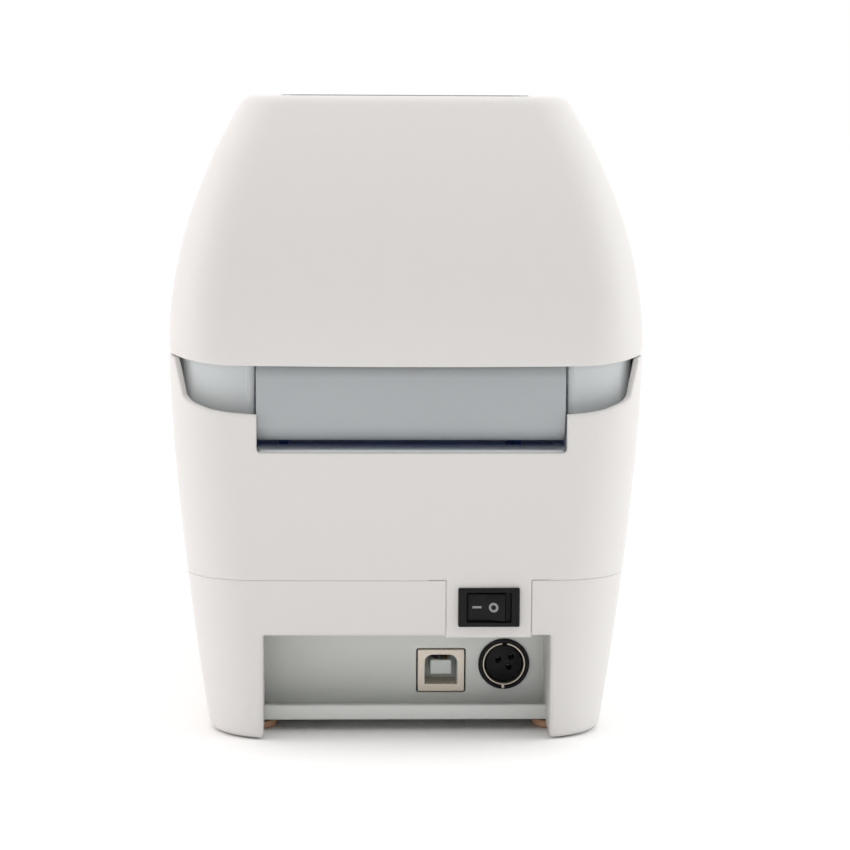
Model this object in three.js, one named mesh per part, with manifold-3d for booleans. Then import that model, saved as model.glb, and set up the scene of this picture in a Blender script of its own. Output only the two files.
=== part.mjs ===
// Desktop thermal label printer for labels up to 60 mm wide, as an assembly of separate pieces.
// Millimetres, +Z up. The origin is on the table under the centre of the footprint, and the exit faces -Y.
import * as THREE from "three";
import { mergeVertices } from "three/addons/utils/BufferGeometryUtils.js";
import Module from "manifold-3d";

const wasm = await Module();
wasm.setup();

// ---------------------------------------------------------------- driving dimensions

const HEIGHT = 161;
const HALF_WIDTH = 60;
const HALF_DEPTH = 100;
const GROUND_GAP = 0.3; // the cases stop this far above the table; the rubber feet reach it
const WALL = 2.4;
const PLAY = 0.25; // gap between neighbouring mouldings

const WIDEST_Z = 98; // the outline is widest just above the lid seam
const FRONT_EDGE_Z = 84; // height of the lid's front edge
const CASE_SPLIT_Z = 41.3; // upper case over bottom case

const HINGE = { y: 93, z: 91.5 }; // the lid's pivot line, along X
const SLOT_X = -1; // centre of the rear fan-fold slot
const SLOT_HALF = 38.6;
const SLOT_FLOOR_Z = 73;

const RECESS_HALF = 35.7; // connector bay in the bottom case
const SHEET_HALF = 35.4; // sheet-steel floor, connector plate and main board
const RECESS_FRONT_Y = 72;
const RECESS_TOP_Z = 27.5;

const SWITCH = { x: -20.4, y: 98.9, z: 34.2 }; // y is the seat's outer face
const USB = { x: -9.9, z: 13.3 };
const JACK = { x: -26.2, z: 14.7 };
const PANEL_Y = 75.2; // rear face of the connector plate

const PLATEN = { y: -76, z: 77, radius: 7, half: 31 };
const LATCH = { y: -50, z: 58 }; // axis of the rod that joins both release levers
const STRIKER = { y: -47, z: 84, radius: 1.8 };
const HEAD_PIVOT = { y: -58, z: 92 };
const ROLL = { y: 15, z: 78 }; // axis of the label roll
const GUIDE_INNER_X = 30.5; // inner face of a media guide when fully open
const SCREW_SPOTS = [
  [41.5, 55],
  [-41.5, 55],
  [41.5, -30],
  [-41.5, -30],
];
const FOOT_SPOTS = [
  [38.5, 80],
  [-38.5, 80],
  [39, -66],
  [-39, -66],
];

// ---------------------------------------------------------------- materials

const paint = (color, roughness, metalness = 0, extra = {}) =>
  new THREE.MeshStandardMaterial({ color, roughness, metalness, ...extra });

const WHITE = paint(0xe9e6e2, 0.45);
const GREY = paint(0xb9c1c4, 0.5);
const PANEL_GREY = paint(0xa6aba9, 0.55);
const BLACK = paint(0x1b1b1d, 0.45);
const DARK = paint(0x2f3134, 0.6);
const WINDOW = paint(0x6f8fc4, 0.1, 0, { transparent: true, opacity: 0.5 });
const STEEL = paint(0xb8bbbd, 0.35, 0.9);
const TIN = paint(0xd8cfc0, 0.35, 0.8);
const RUBBER = paint(0x222222, 0.85);
const FOOT_RUBBER = paint(0xb79a80, 0.8);
const NYLON = paint(0xe6e2d6, 0.5);
const BOARD = paint(0x1f6b45, 0.5);
const CERAMIC = paint(0xe8e4da, 0.3);
const ALUMINIUM = paint(0xaab0b4, 0.4, 0.9);
const BLUE = paint(0x4c79b8, 0.4);
const LENS_GREEN = paint(0x8fd6a0, 0.2);
const LENS_RED = paint(0xd98f86, 0.2);
const CABLE = paint(0xd9d9d4, 0.6);

// ---------------------------------------------------------------- solid helpers

function toSolid(geometry) {
  geometry.deleteAttribute("normal");
  geometry.deleteAttribute("uv");
  const merged = mergeVertices(geometry, 1e-4);
  return new wasm.Manifold(
    new wasm.Mesh({
      numProp: 3,
      vertProperties: merged.attributes.position.array,
      triVerts: new Uint32Array(merged.index.array),
    }),
  );
}

function toMesh(name, solid, material) {
  const { vertProperties, triVerts } = solid.getMesh();
  const shared = new THREE.BufferGeometry()
    .setAttribute("position", new THREE.BufferAttribute(vertProperties, 3))
    .setIndex(new THREE.BufferAttribute(triVerts, 1));
  const geometry = shared.toNonIndexed();
  geometry.computeVertexNormals();
  const mesh = new THREE.Mesh(geometry, material);
  mesh.name = name;
  return mesh;
}

const join = (...solids) => solids.reduce((sum, next) => sum.add(next));
const cut = (solid, ...tools) => tools.reduce((left, tool) => left.subtract(tool), solid);

function box(x0, x1, y0, y1, z0, z1) {
  const geometry = new THREE.BoxGeometry(x1 - x0, y1 - y0, z1 - z0);
  return toSolid(geometry.translate((x0 + x1) / 2, (y0 + y1) / 2, (z0 + z1) / 2));
}

// A box between two x values on the right, or its mirror on the left when side is -1.
function sideBox(side, x0, x1, ...rest) {
  return side > 0 ? box(x0, x1, ...rest) : box(-x1, -x0, ...rest);
}

const LOCAL_TO_AXIS = {
  x: new THREE.Matrix4().makeBasis(
    new THREE.Vector3(0, 1, 0),
    new THREE.Vector3(0, 0, 1),
    new THREE.Vector3(1, 0, 0),
  ),
  y: new THREE.Matrix4().makeBasis(
    new THREE.Vector3(0, 0, 1),
    new THREE.Vector3(1, 0, 0),
    new THREE.Vector3(0, 1, 0),
  ),
  z: new THREE.Matrix4(),
};

// A flat shape pushed along an axis. Its two coordinates are (y, z) for x, (z, x) for y and (x, y) for z.
// An arc in the shape is drawn with twice as many segments as a curve.
function prism(axis, shape, from, to, curveSegments = 4) {
  const geometry = new THREE.ExtrudeGeometry(shape, {
    depth: to - from,
    bevelEnabled: false,
    curveSegments,
  });
  return toSolid(geometry.translate(0, 0, from).applyMatrix4(LOCAL_TO_AXIS[axis]));
}

function polygon(points) {
  return new THREE.Shape(points.map(([a, b]) => new THREE.Vector2(a, b)));
}

function roundedRect(a0, a1, b0, b1, radius) {
  const shape = new THREE.Shape();
  shape.absarc(a1 - radius, b0 + radius, radius, -Math.PI / 2, 0);
  shape.absarc(a1 - radius, b1 - radius, radius, 0, Math.PI / 2);
  shape.absarc(a0 + radius, b1 - radius, radius, Math.PI / 2, Math.PI);
  shape.absarc(a0 + radius, b0 + radius, radius, Math.PI, Math.PI * 1.5);
  return shape;
}

// A round bar along an axis, centred on its other two coordinates, in the order that prism uses.
function bar(axis, a, b, radius, from, to, sides = 16) {
  const circle = new THREE.Shape().absarc(a, b, radius, 0, Math.PI * 2);
  return prism(axis, circle, from, to, sides / 2);
}

// A round wire swept along a curve.
function wire(curve, radius, steps, sides) {
  const circle = new THREE.Shape().absarc(0, 0, radius, 0, Math.PI * 2);
  const options = { extrudePath: curve, steps, curveSegments: sides / 2, bevelEnabled: false };
  return toSolid(new THREE.ExtrudeGeometry(circle, options));
}

class Helix extends THREE.Curve {
  constructor(radius, length, turns) {
    super();
    Object.assign(this, { radius, length, turns });
  }
  getPoint(t, target = new THREE.Vector3()) {
    const angle = t * this.turns * Math.PI * 2;
    const along = (t - 0.5) * this.length;
    return target.set(this.radius * Math.cos(angle), this.radius * Math.sin(angle), along);
  }
}

// ---------------------------------------------------------------- outer form

function halfWidthAt(z) {
  if (z > WIDEST_Z) return HALF_WIDTH - 19 * ((z - WIDEST_Z) / (HEIGHT - WIDEST_Z)) ** 2;
  return HALF_WIDTH - 10.3 * ((WIDEST_Z - z) / WIDEST_Z) ** 1.55;
}

function rearAt(z) {
  const edge = 94; // height of the lid's rear edge, where the form reaches furthest back
  if (z > edge) return HALF_DEPTH - 24 * ((z - edge) / (HEIGHT - edge)) ** 1.8;
  return HALF_DEPTH - 0.9 * ((edge - z) / edge) ** 1.6;
}

function frontAt(z) {
  const belly = 50;
  if (z < belly) return -HALF_DEPTH + 4 * ((belly - z) / belly) ** 2;
  if (z < FRONT_EDGE_Z) return -HALF_DEPTH + 8 * ((z - belly) / (FRONT_EDGE_Z - belly)) ** 2;
  return -HALF_DEPTH + 8 + 107 * ((z - FRONT_EDGE_Z) / (HEIGHT - FRONT_EDGE_Z)) ** 1.9;
}

const rearCornerAt = (z) => 17 - 7 * Math.max(0, (z - WIDEST_Z) / (HEIGHT - WIDEST_Z));
const frontCornerAt = (z) =>
  26 - 14 * Math.max(0, (z - FRONT_EDGE_Z) / (HEIGHT - FRONT_EDGE_Z));

const REAR_CROWN = 1.5; // how far the middle of the rear face stands out
const FRONT_CROWN = 5;
const ARC_STEPS = 4;

// The plan outline at one height, anticlockwise from the right side, set in from the outer form.
function outline(z, inset) {
  const half = halfWidthAt(z) - inset;
  const rear = rearAt(z) - inset;
  const front = frontAt(z) + inset;
  const rr = rearCornerAt(z) - inset;
  const rf = frontCornerAt(z) - inset;
  const corners = [
    [half - rr, rear - rr, rr, 3],
    [-half + rr, rear - rr, rr, 1],
    [-half + rf, front + rf, rf, 3],
    [half - rf, front + rf, rf, 1],
  ];
  const points = [];
  corners.forEach(([cx, cy, radius, between], quarter) => {
    for (let i = 0; i <= ARC_STEPS; i++) {
      const angle = ((quarter + i / ARC_STEPS) * Math.PI) / 2;
      points.push([cx + radius * Math.cos(angle), cy + radius * Math.sin(angle)]);
    }
    const [nx, ny, nextRadius] = corners[(quarter + 1) % 4];
    const turn = ((quarter + 1) * Math.PI) / 2;
    const [ax, ay] = points.at(-1);
    const [bx, by] = [nx + nextRadius * Math.cos(turn), ny + nextRadius * Math.sin(turn)];
    for (let i = 1; i <= between; i++) {
      const t = i / (between + 1);
      points.push([ax + (bx - ax) * t, ay + (by - ay) * t]);
    }
  });
  const middle = (rear + front) / 2;
  const reach = (rear - front) / 2;
  return points.map(([x, y]) => {
    const t = (y - middle) / reach;
    const crown = t > 0 ? REAR_CROWN : FRONT_CROWN;
    return [x, y - t * crown * (x / half) ** 2];
  });
}

// Heights of the lofted rings, each with the extra inset that rounds the top and bottom edges.
const EDGE_RINGS = [
  [0, 1.6],
  [0.5, 0.5],
  [1.6, 0],
];
const BODY_RINGS = [22, 41.8, 62, 74, 84, 94, 104, 116, 128, 139, 149];

// The closed outer form, or the same form set in by a distance on every side.
function bodySolid(inset) {
  const low = GROUND_GAP + inset;
  const high = HEIGHT - inset;
  const rings = [
    ...EDGE_RINGS.map(([rise, extra]) => [low + rise, extra]),
    ...BODY_RINGS.map((z) => [z, 0]),
    ...EDGE_RINGS.map(([rise, extra]) => [high - rise, extra]).reverse(),
  ];
  const positions = [];
  const indices = [];
  rings.forEach(([z, extra]) => {
    outline(z, inset + extra).forEach(([x, y]) => positions.push(x, y, z));
  });
  const count = positions.length / 3 / rings.length;
  for (let ring = 0; ring + 1 < rings.length; ring++) {
    for (let i = 0; i < count; i++) {
      const a = ring * count + i;
      const b = ring * count + ((i + 1) % count);
      indices.push(a, b, b + count, a, b + count, a + count);
    }
  }
  const last = (rings.length - 1) * count;
  for (let i = 1; i + 1 < count; i++) {
    indices.push(0, i + 1, i, last, last + i, last + i + 1);
  }
  const geometry = new THREE.BufferGeometry();
  geometry.setAttribute("position", new THREE.Float32BufferAttribute(positions, 3));
  return toSolid(geometry.setIndex(indices));
}

const OUTER = bodySolid(0);
const INNER = bodySolid(WALL);
const SHELL = cut(OUTER, INNER);

// ---------------------------------------------------------------- seams

const SEAM_CREST = { y: 80, z: 96.5 };

function seamAt(y) {
  const behind = (y - SEAM_CREST.y) / 20;
  if (behind > 0) return SEAM_CREST.z - 2.3 * behind ** 2;
  const ahead = (SEAM_CREST.y - y) / 172;
  return SEAM_CREST.z - (SEAM_CREST.z - FRONT_EDGE_Z) * ahead ** 1.5;
}

// Everything above the lid seam, raised by lift.
function aboveSeam(lift) {
  const ys = [-112, -92, -72, -52, -32, -12, 8, 28, 48, 64, 80, 87, 94, 101];
  const edge = ys.map((y) => [y, seamAt(Math.max(y, -92)) + lift]);
  return prism("x", polygon([...edge, [101, 190], [-112, 190]]), -80, 80);
}

// The room above the upper case: it dips behind the hinge so that the lid's rear edge can swing down.
function aboveCase() {
  const ys = [-112, -92, -72, -52, -32, -12, 8, 28, 48, 64, 80, 88.5];
  const edge = ys.map((y) => [y, seamAt(Math.max(y, -92)) - PLAY]);
  const dip = [
    [92.2, 89],
    [94, 86.2],
    [97, 84.4],
    [112, 83],
  ];
  return prism("x", polygon([...edge, ...dip, [112, 190], [-112, 190]]), -80, 80);
}

// ---------------------------------------------------------------- lid

const WINDOW_HALF = 32;
const WINDOW_Y = [-52, 69];

function windowPrism(margin, lowZ = 100) {
  const [front, rear] = WINDOW_Y;
  const shape = roundedRect(
    -WINDOW_HALF + margin,
    WINDOW_HALF - margin,
    front + margin,
    rear - margin,
    7 - margin,
  );
  return prism("z", shape, lowZ, 175, 2);
}

function lidCover() {
  const rebate = cut(windowPrism(0).intersect(bodySolid(-1)), bodySolid(1.6));
  const exitGap = box(-34, 34, -110, -84, 80, FRONT_EDGE_Z + 3.4);
  return cut(SHELL.intersect(aboveSeam(PLAY)), rebate, windowPrism(3.2), exitGap);
}

function lidWindow() {
  return cut(bodySolid(-0.25), bodySolid(1.3)).intersect(windowPrism(0.35));
}

// Cross-section of the curved tail that closes the rear slot while the lid is down.
function tailShape() {
  const shape = new THREE.Shape();
  shape.moveTo(94.2, 99.5);
  shape.lineTo(94.2, 94.6);
  shape.absarc(HINGE.y, HINGE.z, 3.2, 1.18, 0, true);
  shape.lineTo(95.9, 84);
  shape.quadraticCurveTo(95.6, 78.8, 92.8, 77.5);
  shape.lineTo(93.4, 75.9);
  shape.quadraticCurveTo(97.2, 77, 97.7, 84);
  shape.absarc(HINGE.y, HINGE.z, 4.8, 0, 0.75);
  shape.lineTo(96.1, 99.5);
  return shape;
}

function hingeEar(from, to, toTail) {
  const disc = bar("x", HINGE.y, HINGE.z, 2.8, SLOT_X + from, SLOT_X + to, 14);
  const web = toTail
    ? box(SLOT_X + from, SLOT_X + to, HINGE.y, HINGE.y + 3.8, HINGE.z - 2, HINGE.z + 2)
    : box(SLOT_X + from, SLOT_X + to, 80, HINGE.y, HINGE.z - 0.2, HINGE.z + 2.6);
  return disc.add(web);
}

function lidInnerFrame() {
  const band = cut(aboveSeam(0.8), aboveSeam(4));
  const headRoom = box(-46, 46, -110, -78, 80, 97);
  const ring = cut(bodySolid(WALL + 0.4), bodySolid(7)).intersect(band).subtract(headRoom);
  const tail = prism("x", tailShape(), SLOT_X - 37.9, SLOT_X + 37.9, 3);
  const ears = join(hingeEar(30, 33.2, true), hingeEar(-33.2, -30, true));
  const beam = box(-54, 54, -54, -49, 91.6, 101).intersect(bodySolid(WALL + 0.4));
  const shelf = box(-38.6, 38.6, -80, -49, 97.5, 99.5);
  const brackets = [];
  for (const side of [1, -1]) {
    brackets.push(sideBox(side, 36, 38.6, -62, -49, 88, 99.5)); // carries the head's pivot pin
    const pin = bar("x", HEAD_PIVOT.y, HEAD_PIVOT.z, 1.5, 33, 36.5, 12);
    brackets.push(side > 0 ? pin : pin.mirror([1, 0, 0]));
    brackets.push(sideBox(side, 50.2, 51.7, -49.8, -44.4, 82.2, 94)); // striker lug
    const striker = bar("x", STRIKER.y, STRIKER.z, STRIKER.radius, 46.4, 51, 12);
    brackets.push(side > 0 ? striker : striker.mirror([1, 0, 0]));
  }
  const bores = bar("x", HINGE.y, HINGE.z, 1.5, SLOT_X - 34, SLOT_X - 29, 12).add(
    bar("x", HINGE.y, HINGE.z, 1.5, SLOT_X + 29, SLOT_X + 34, 12),
  );
  return cut(join(ring, tail, ears, beam, shelf, ...brackets), bores);
}

function hingePin() {
  return bar("x", 0, 0, 1.2, -3.8, 3.8, 12).add(bar("x", 0, 0, 2.2, 3.7, 4.7, 12));
}

// ---------------------------------------------------------------- cases

function upperCase() {
  const wall = cut(
    SHELL.intersect(box(-80, 80, -120, 120, CASE_SPLIT_Z + PLAY / 2, 120)),
    aboveCase(),
  );
  const switchSeat = box(-31.2, -9.6, SWITCH.y - 3, SWITCH.y, 26.9, 45);
  const notch = box(SLOT_X - SLOT_HALF, SLOT_X + SLOT_HALF, 85, 110, SLOT_FLOOR_Z, 100);
  const switchHole = box(
    SWITCH.x - 6.7,
    SWITCH.x + 6.7,
    80,
    110,
    SWITCH.z - 4.4,
    SWITCH.z + 4.4,
  );
  const exit = box(-38, 38, -110, -84, 78.6, 90);
  const buttonHole = prism("y", roundedRect(54.7, 65.3, -12.3, 12.3, 4.9), -110, -90, 2);
  const lights = [-7, 7].map((x) => bar("y", 71.5, x, 2.15, -110, -85, 12));
  const leverSlots = [1, -1].map((side) => sideBox(side, 50, 70, -60.6, -46.8, 72.8, 83.2));
  return cut(
    wall.add(switchSeat),
    notch,
    switchHole,
    exit,
    buttonHole,
    ...lights,
    ...leverSlots,
  );
}

function bottomCase() {
  const wall = SHELL.intersect(box(-80, 80, -120, 120, 0, CASE_SPLIT_Z - PLAY / 2));
  const x = RECESS_HALF + 2;
  const tunnel = box(-x, x, RECESS_FRONT_Y, 110, 0, RECESS_TOP_Z + 2).intersect(OUTER);
  const recess = box(-RECESS_HALF, RECESS_HALF, 60, 110, -1, RECESS_TOP_Z);
  const switchBay = box(-31.5, -9.3, 92, 110, 26.6, 60);
  const pads = SCREW_SPOTS.map(([sx, sy]) => bar("z", sx, sy, 5, 2, 5.2, 12));
  const bores = SCREW_SPOTS.flatMap(([sx, sy]) => [
    bar("z", sx, sy, 3.2, 0, 3.4, 10),
    bar("z", sx, sy, 1.7, 0, 6, 10),
  ]);
  const pockets = FOOT_SPOTS.map(([fx, fy]) => bar("z", fx, fy, 5.3, 0, 2.2, 12));
  return cut(join(wall, tunnel, ...pads), recess, switchBay, ...bores, ...pockets);
}

function foot() {
  const profile = [
    [0, 0],
    [4.6, 0],
    [5, 0.5],
    [5, 1.5],
    [4.6, 1.9],
    [0, 1.9],
  ].map(([r, z]) => new THREE.Vector2(r, z));
  return toSolid(new THREE.LatheGeometry(profile, 12).rotateX(Math.PI / 2));
}

function caseScrew() {
  const head = cut(bar("z", 0, 0, 2.8, 0, 1.6, 10), box(-1.8, 1.8, -0.4, 0.4, -1, 0.8));
  return cut(head, box(-0.4, 0.4, -1.8, 1.8, -1, 0.8)).add(bar("z", 0, 0, 1.2, 1.5, 13, 6));
}

// Sheet-steel floor that carries the board and the printing mechanism; its rear lip shows in the recess.
function basePlate() {
  const sheet = box(-SHEET_HALF, SHEET_HALF, -84, 87, 3.9, 4.8);
  const lip = box(-SHEET_HALF, SHEET_HALF, 85.8, 87, 2.6, 6.9);
  return sheet.add(lip);
}

function ioPanel() {
  const plate = box(-SHEET_HALF, SHEET_HALF, PANEL_Y - 1.5, PANEL_Y, 5.1, 27.2);
  const usbHole = box(USB.x - 6.3, USB.x + 6.3, 60, 90, USB.z - 5.7, USB.z + 5.7);
  return cut(plate, usbHole, bar("y", JACK.z, JACK.x, 6.9, 60, 90, 20));
}

// ---------------------------------------------------------------- media bay

const TRAY = { half: 46, wide: 55, frontY: -42, rearY: 90, floorZ: 24.2, stepZ: 70, wall: 1.8 };

// Plan of the tray's wide upper part: its rear face follows the case and ends in a crisp corner.
function trayPlan(inset) {
  const half = TRAY.wide - inset;
  const corner = half - 2.2;
  const points = [
    [half, TRAY.frontY + inset],
    [half, 82.6 - inset],
    [half - 1.1, 86.2 - inset],
  ];
  for (let i = 0; i <= 6; i++) {
    const x = corner * (1 - i / 3);
    points.push([x, 92.4 - inset - 4.4 * Math.abs(x / corner) ** 3]);
  }
  points.push([1.1 - half, 86.2 - inset], [-half, 82.6 - inset], [-half, TRAY.frontY + inset]);
  return polygon(points);
}

// Side profile of the tub that the roll hangs in.
function tubProfile(inset) {
  const [front, rear] = [TRAY.frontY + inset, TRAY.rearY - inset];
  const floor = TRAY.floorZ + inset;
  const shape = new THREE.Shape();
  shape.moveTo(front, 96);
  shape.lineTo(front, 44);
  shape.quadraticCurveTo(front, floor, front + 22, floor);
  shape.lineTo(56, floor);
  shape.quadraticCurveTo(74 - inset, floor, rear, 54);
  shape.lineTo(rear, 96);
  return shape;
}

function mediaTray() {
  const { half, wide, frontY, floorZ, stepZ, wall } = TRAY;
  const tub = prism("x", tubProfile(0), -half, half).intersect(
    box(-half, half, -60, 110, 0, stepZ + 2),
  );
  const rim = prism("z", trayPlan(0), stepZ, 94.3);
  const [chuteLeft, chuteRight] = [SLOT_X - 38.2, SLOT_X + 38.2];
  const sill = box(chuteLeft, chuteRight, 84, 97, SLOT_FLOOR_Z + 0.3, SLOT_FLOOR_Z + 1.2);
  const chute = sill.add(box(chuteLeft, chuteRight, 84, 92.4, SLOT_FLOOR_Z - 1, SLOT_FLOOR_Z + 0.5));
  const bosses = SCREW_SPOTS.map(([x, y]) => bar("z", x, y, 3.6, 5.5, 34, 12));
  const pilots = SCREW_SPOTS.map(([x, y]) => bar("z", x, y, 1.5, 0, 18, 8));
  const cavity = prism("x", tubProfile(wall), -half + wall, half - wall);
  const rimCavity = prism("z", trayPlan(wall), stepZ + 2, 120);
  const opening = SLOT_HALF + 0.9;
  const slotRoom = box(SLOT_X - opening, SLOT_X + opening, 76, 110, SLOT_FLOOR_Z, 120);
  const guideSlots = [
    box(9, 34.5, 23.9, 27.7, 20, 30),
    box(-34.5, -9, 2.3, 6.1, 20, 30),
  ];
  const cableHole = bar("z", -50, 82.5, 2.4, 60, 80, 10);
  const exit = box(-34.5, 34.5, frontY - 5, frontY + 4, stepZ + 2, 120); // the labels leave over this edge
  const body = cut(
    join(tub, rim, ...bosses),
    cavity,
    rimCavity,
    aboveSeam(-1.8),
    ...guideSlots,
    ...pilots,
    cableHole,
    exit,
    slotRoom,
  );
  const ears = [1, -1].map((side) => {
    const x = [33.5, 36.5].map((v) => v * side).sort((a, b) => a - b);
    const arm = [33.5, 42].map((v) => SLOT_X + v * side).sort((a, b) => a - b);
    const bridge = box(...arm, 79, 84, HINGE.z - 0.2, HINGE.z + 2.6);
    const post = [39.5, 42].map((v) => SLOT_X + v * side).sort((a, b) => a - b);
    const flange = box(...post, 79, 92, SLOT_FLOOR_Z - 1, HINGE.z + 2.6);
    return join(hingeEar(...x, false), bridge, flange);
  });
  const bores = [1, -1].map((side) => {
    const x = [32, 38].map((v) => SLOT_X + v * side).sort((a, b) => a - b);
    return bar("x", HINGE.y, HINGE.z, 1.5, ...x, 12);
  });
  return cut(join(body, chute, ...ears), ...bores);
}

const RACK_Z = [20.2, 23.6];
const RACK_MODULE = 1;
const GUIDE_PINION_TEETH = 16;
const RACK_LINE = (RACK_MODULE * GUIDE_PINION_TEETH) / 2; // pitch line, measured from the pinion's axis

// A straight rack along X with a tooth at x = 0, its teeth facing -Y.
function rack(x0, x1) {
  const pitch = Math.PI * RACK_MODULE;
  const lean = Math.tan(THREE.MathUtils.degToRad(20));
  const [tip, root] = [RACK_LINE - 0.9, RACK_LINE + 1.2];
  const halfPitchLine = pitch / 4 - 0.1;
  const halfTip = halfPitchLine - 0.9 * lean;
  const halfRoot = halfPitchLine + 1.2 * lean;
  const points = [
    [x1, RACK_LINE + 4.2],
    [x0, RACK_LINE + 4.2],
    [x0, root],
  ];
  for (let n = Math.ceil(x0 / pitch); (n + 0.5) * pitch < x1; n++) {
    const x = n * pitch;
    points.push([x - halfRoot, root], [x - halfTip, tip]);
    points.push([x + halfTip, tip], [x + halfRoot, root]);
  }
  points.push([x1, root]);
  return prism("z", polygon(points.reverse()), ...RACK_Z);
}

// The right media guide, seen from the pinion's axis. The left one is the same, turned by half a turn.
function mediaGuide() {
  const inner = GUIDE_INNER_X;
  const plate = new THREE.Shape();
  plate.moveTo(-19, 26.6);
  plate.lineTo(19, 26.6);
  plate.lineTo(19, 32);
  plate.quadraticCurveTo(14, 44, 15.6, ROLL.z - 6);
  plate.absarc(0, ROLL.z, 16.7, -0.37, Math.PI + 0.37);
  plate.quadraticCurveTo(-14, 44, -19, 32);
  const stem = box(inner, inner + 2.4, 9.4, 12.2, RACK_Z[0], 28);
  const post = bar("x", 0, ROLL.z, 4.9, inner - 6.6, inner + 1, 16);
  return join(prism("x", plate, inner, inner + 2.4), stem, rack(-9, inner + 2.4), post);
}

function rollHub() {
  const profile = [
    [5.2, 0],
    [12.2, 0],
    [12.2, 1.4],
    [11.4, 1.8],
    [10.9, 7.6],
    [5.2, 7.6],
    [5.2, 0],
  ].map(([r, x]) => new THREE.Vector2(r, x));
  const hub = toSolid(new THREE.LatheGeometry(profile, 18).rotateZ(Math.PI / 2));
  const grips = [0, 1, 2, 3].map((n) => {
    const angle = (n * Math.PI) / 2;
    const [y, z] = [11.4 * Math.cos(angle), 11.4 * Math.sin(angle)];
    return bar("x", y, z, 0.9, -6.6, -0.6, 6);
  });
  return join(hub, ...grips);
}

function rackCover() {
  const plate = prism("z", roundedRect(-46, 46, -16.5, 16.5, 3), 18.4, 19.8, 1);
  return plate.add(bar("z", 0, 0, 1.9, 19, 23.9, 12));
}

// ---------------------------------------------------------------- gears

// An involute spur gear about Z with a tooth pointing along +X.
function gear(teeth, module, from, to, bore) {
  const pitchRadius = (teeth * module) / 2;
  const baseRadius = pitchRadius * Math.cos(THREE.MathUtils.degToRad(20));
  const tipRadius = pitchRadius + 0.85 * module;
  const rootRadius = pitchRadius - 1.15 * module;
  const involute = (r) => {
    const ratio = Math.max(1, r / baseRadius);
    return Math.sqrt(ratio ** 2 - 1) - Math.acos(1 / ratio);
  };
  const backlash = 0.08 * module;
  const halfAtPitch = Math.PI / (2 * teeth) - backlash / pitchRadius;
  const halfAt = (r) => halfAtPitch + involute(pitchRadius) - involute(r);
  const points = [];
  for (let tooth = 0; tooth < teeth; tooth++) {
    const centre = (tooth / teeth) * Math.PI * 2;
    for (const [r, sign] of [
      [rootRadius, -1],
      [tipRadius, -1],
      [tipRadius, 1],
      [rootRadius, 1],
    ]) {
      const angle = centre + sign * halfAt(r);
      points.push([r * Math.cos(angle), r * Math.sin(angle)]);
    }
  }
  const shape = polygon(points);
  shape.holes.push(new THREE.Path().absarc(0, 0, bore, 0, Math.PI * 2, true));
  return prism("z", shape, from, to, 6);
}

const DRIVE_MODULE = 0.8; // platen gear and the small wheel of the reduction gear
const MOTOR_MODULE = 0.6; // large wheel and motor pinion
const TEETH = { platen: 24, small: 16, large: 44, motor: 14 };
const PLATEN_TO_REDUCTION = (DRIVE_MODULE * (TEETH.platen + TEETH.small)) / 2;
const REDUCTION_TO_MOTOR = (MOTOR_MODULE * (TEETH.large + TEETH.motor)) / 2;
const REDUCTION_ANGLE = THREE.MathUtils.degToRad(-60); // seen along -X, from the platen's axis
const MOTOR_ANGLE = THREE.MathUtils.degToRad(-100);

const REDUCTION = {
  y: PLATEN.y + PLATEN_TO_REDUCTION * Math.cos(REDUCTION_ANGLE),
  z: PLATEN.z + PLATEN_TO_REDUCTION * Math.sin(REDUCTION_ANGLE),
};
const MOTOR = {
  y: REDUCTION.y + REDUCTION_TO_MOTOR * Math.cos(MOTOR_ANGLE),
  z: REDUCTION.z + REDUCTION_TO_MOTOR * Math.sin(MOTOR_ANGLE),
};

// ---------------------------------------------------------------- printing mechanism

const CHASSIS_X = [34, 36];

function printChassis() {
  const floor = box(-36, 36, -86, -47, 5.1, 6.9);
  const side = new THREE.Shape();
  side.moveTo(-86, 5.1);
  side.lineTo(-47, 5.1);
  side.lineTo(-47, 64);
  side.lineTo(-62, 80);
  side.lineTo(-70, 83.5);
  side.lineTo(-86, 83.5);
  const wall = prism("x", side, ...CHASSIS_X);
  const bearing = bar("x", PLATEN.y, PLATEN.z, 4.25, 30, 40);
  const rodHole = bar("x", LATCH.y, LATCH.z, 2.3, 30, 40, 12);
  const motorHole = bar("x", MOTOR.y, MOTOR.z, 5.6, 30, 40);
  const right = cut(wall, bearing, rodHole, motorHole);
  const left = cut(wall, bearing, rodHole).mirror([1, 0, 0]);
  const tie = box(-35, 35, -84.5, -82.5, 64, 68);
  const axle = bar("x", REDUCTION.y, REDUCTION.z, 1.9, 35, 45, 12); // the reduction gear turns on it
  const axleClip = bar("x", REDUCTION.y, REDUCTION.z, 3.2, 44.6, 45.4, 12);
  return join(floor, right, left, tie, axle, axleClip);
}

function platenShaft() {
  return bar("x", 0, 0, 2.45, -38.4, 40.8);
}

function platenRubber() {
  const { radius, half } = PLATEN;
  return cut(bar("x", 0, 0, radius, -half, half, 24), bar("x", 0, 0, 2.65, -40, 40));
}

function platenBushing() {
  const sleeve = bar("x", 0, 0, 3.95, 1.4, 4.2).add(bar("x", 0, 0, 5.6, 0, 1.5));
  return cut(sleeve, bar("x", 0, 0, 2.65, -2, 6));
}

function motorBody() {
  const can = bar("x", 0, 0, 17.5, 12, 32.4, 24);
  const flange = prism("x", roundedRect(-10, 10, -17.4, 17.4, 5), 32.3, 33.7, 1);
  const boss = bar("x", 0, 0, 5, 33.6, 35.8);
  return cut(join(can, flange, boss), bar("x", 0, 0, 1.25, 18, 40, 10));
}

function motorShaft() {
  return bar("x", 0, 0, 1, 20, 44.6, 10);
}

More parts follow.
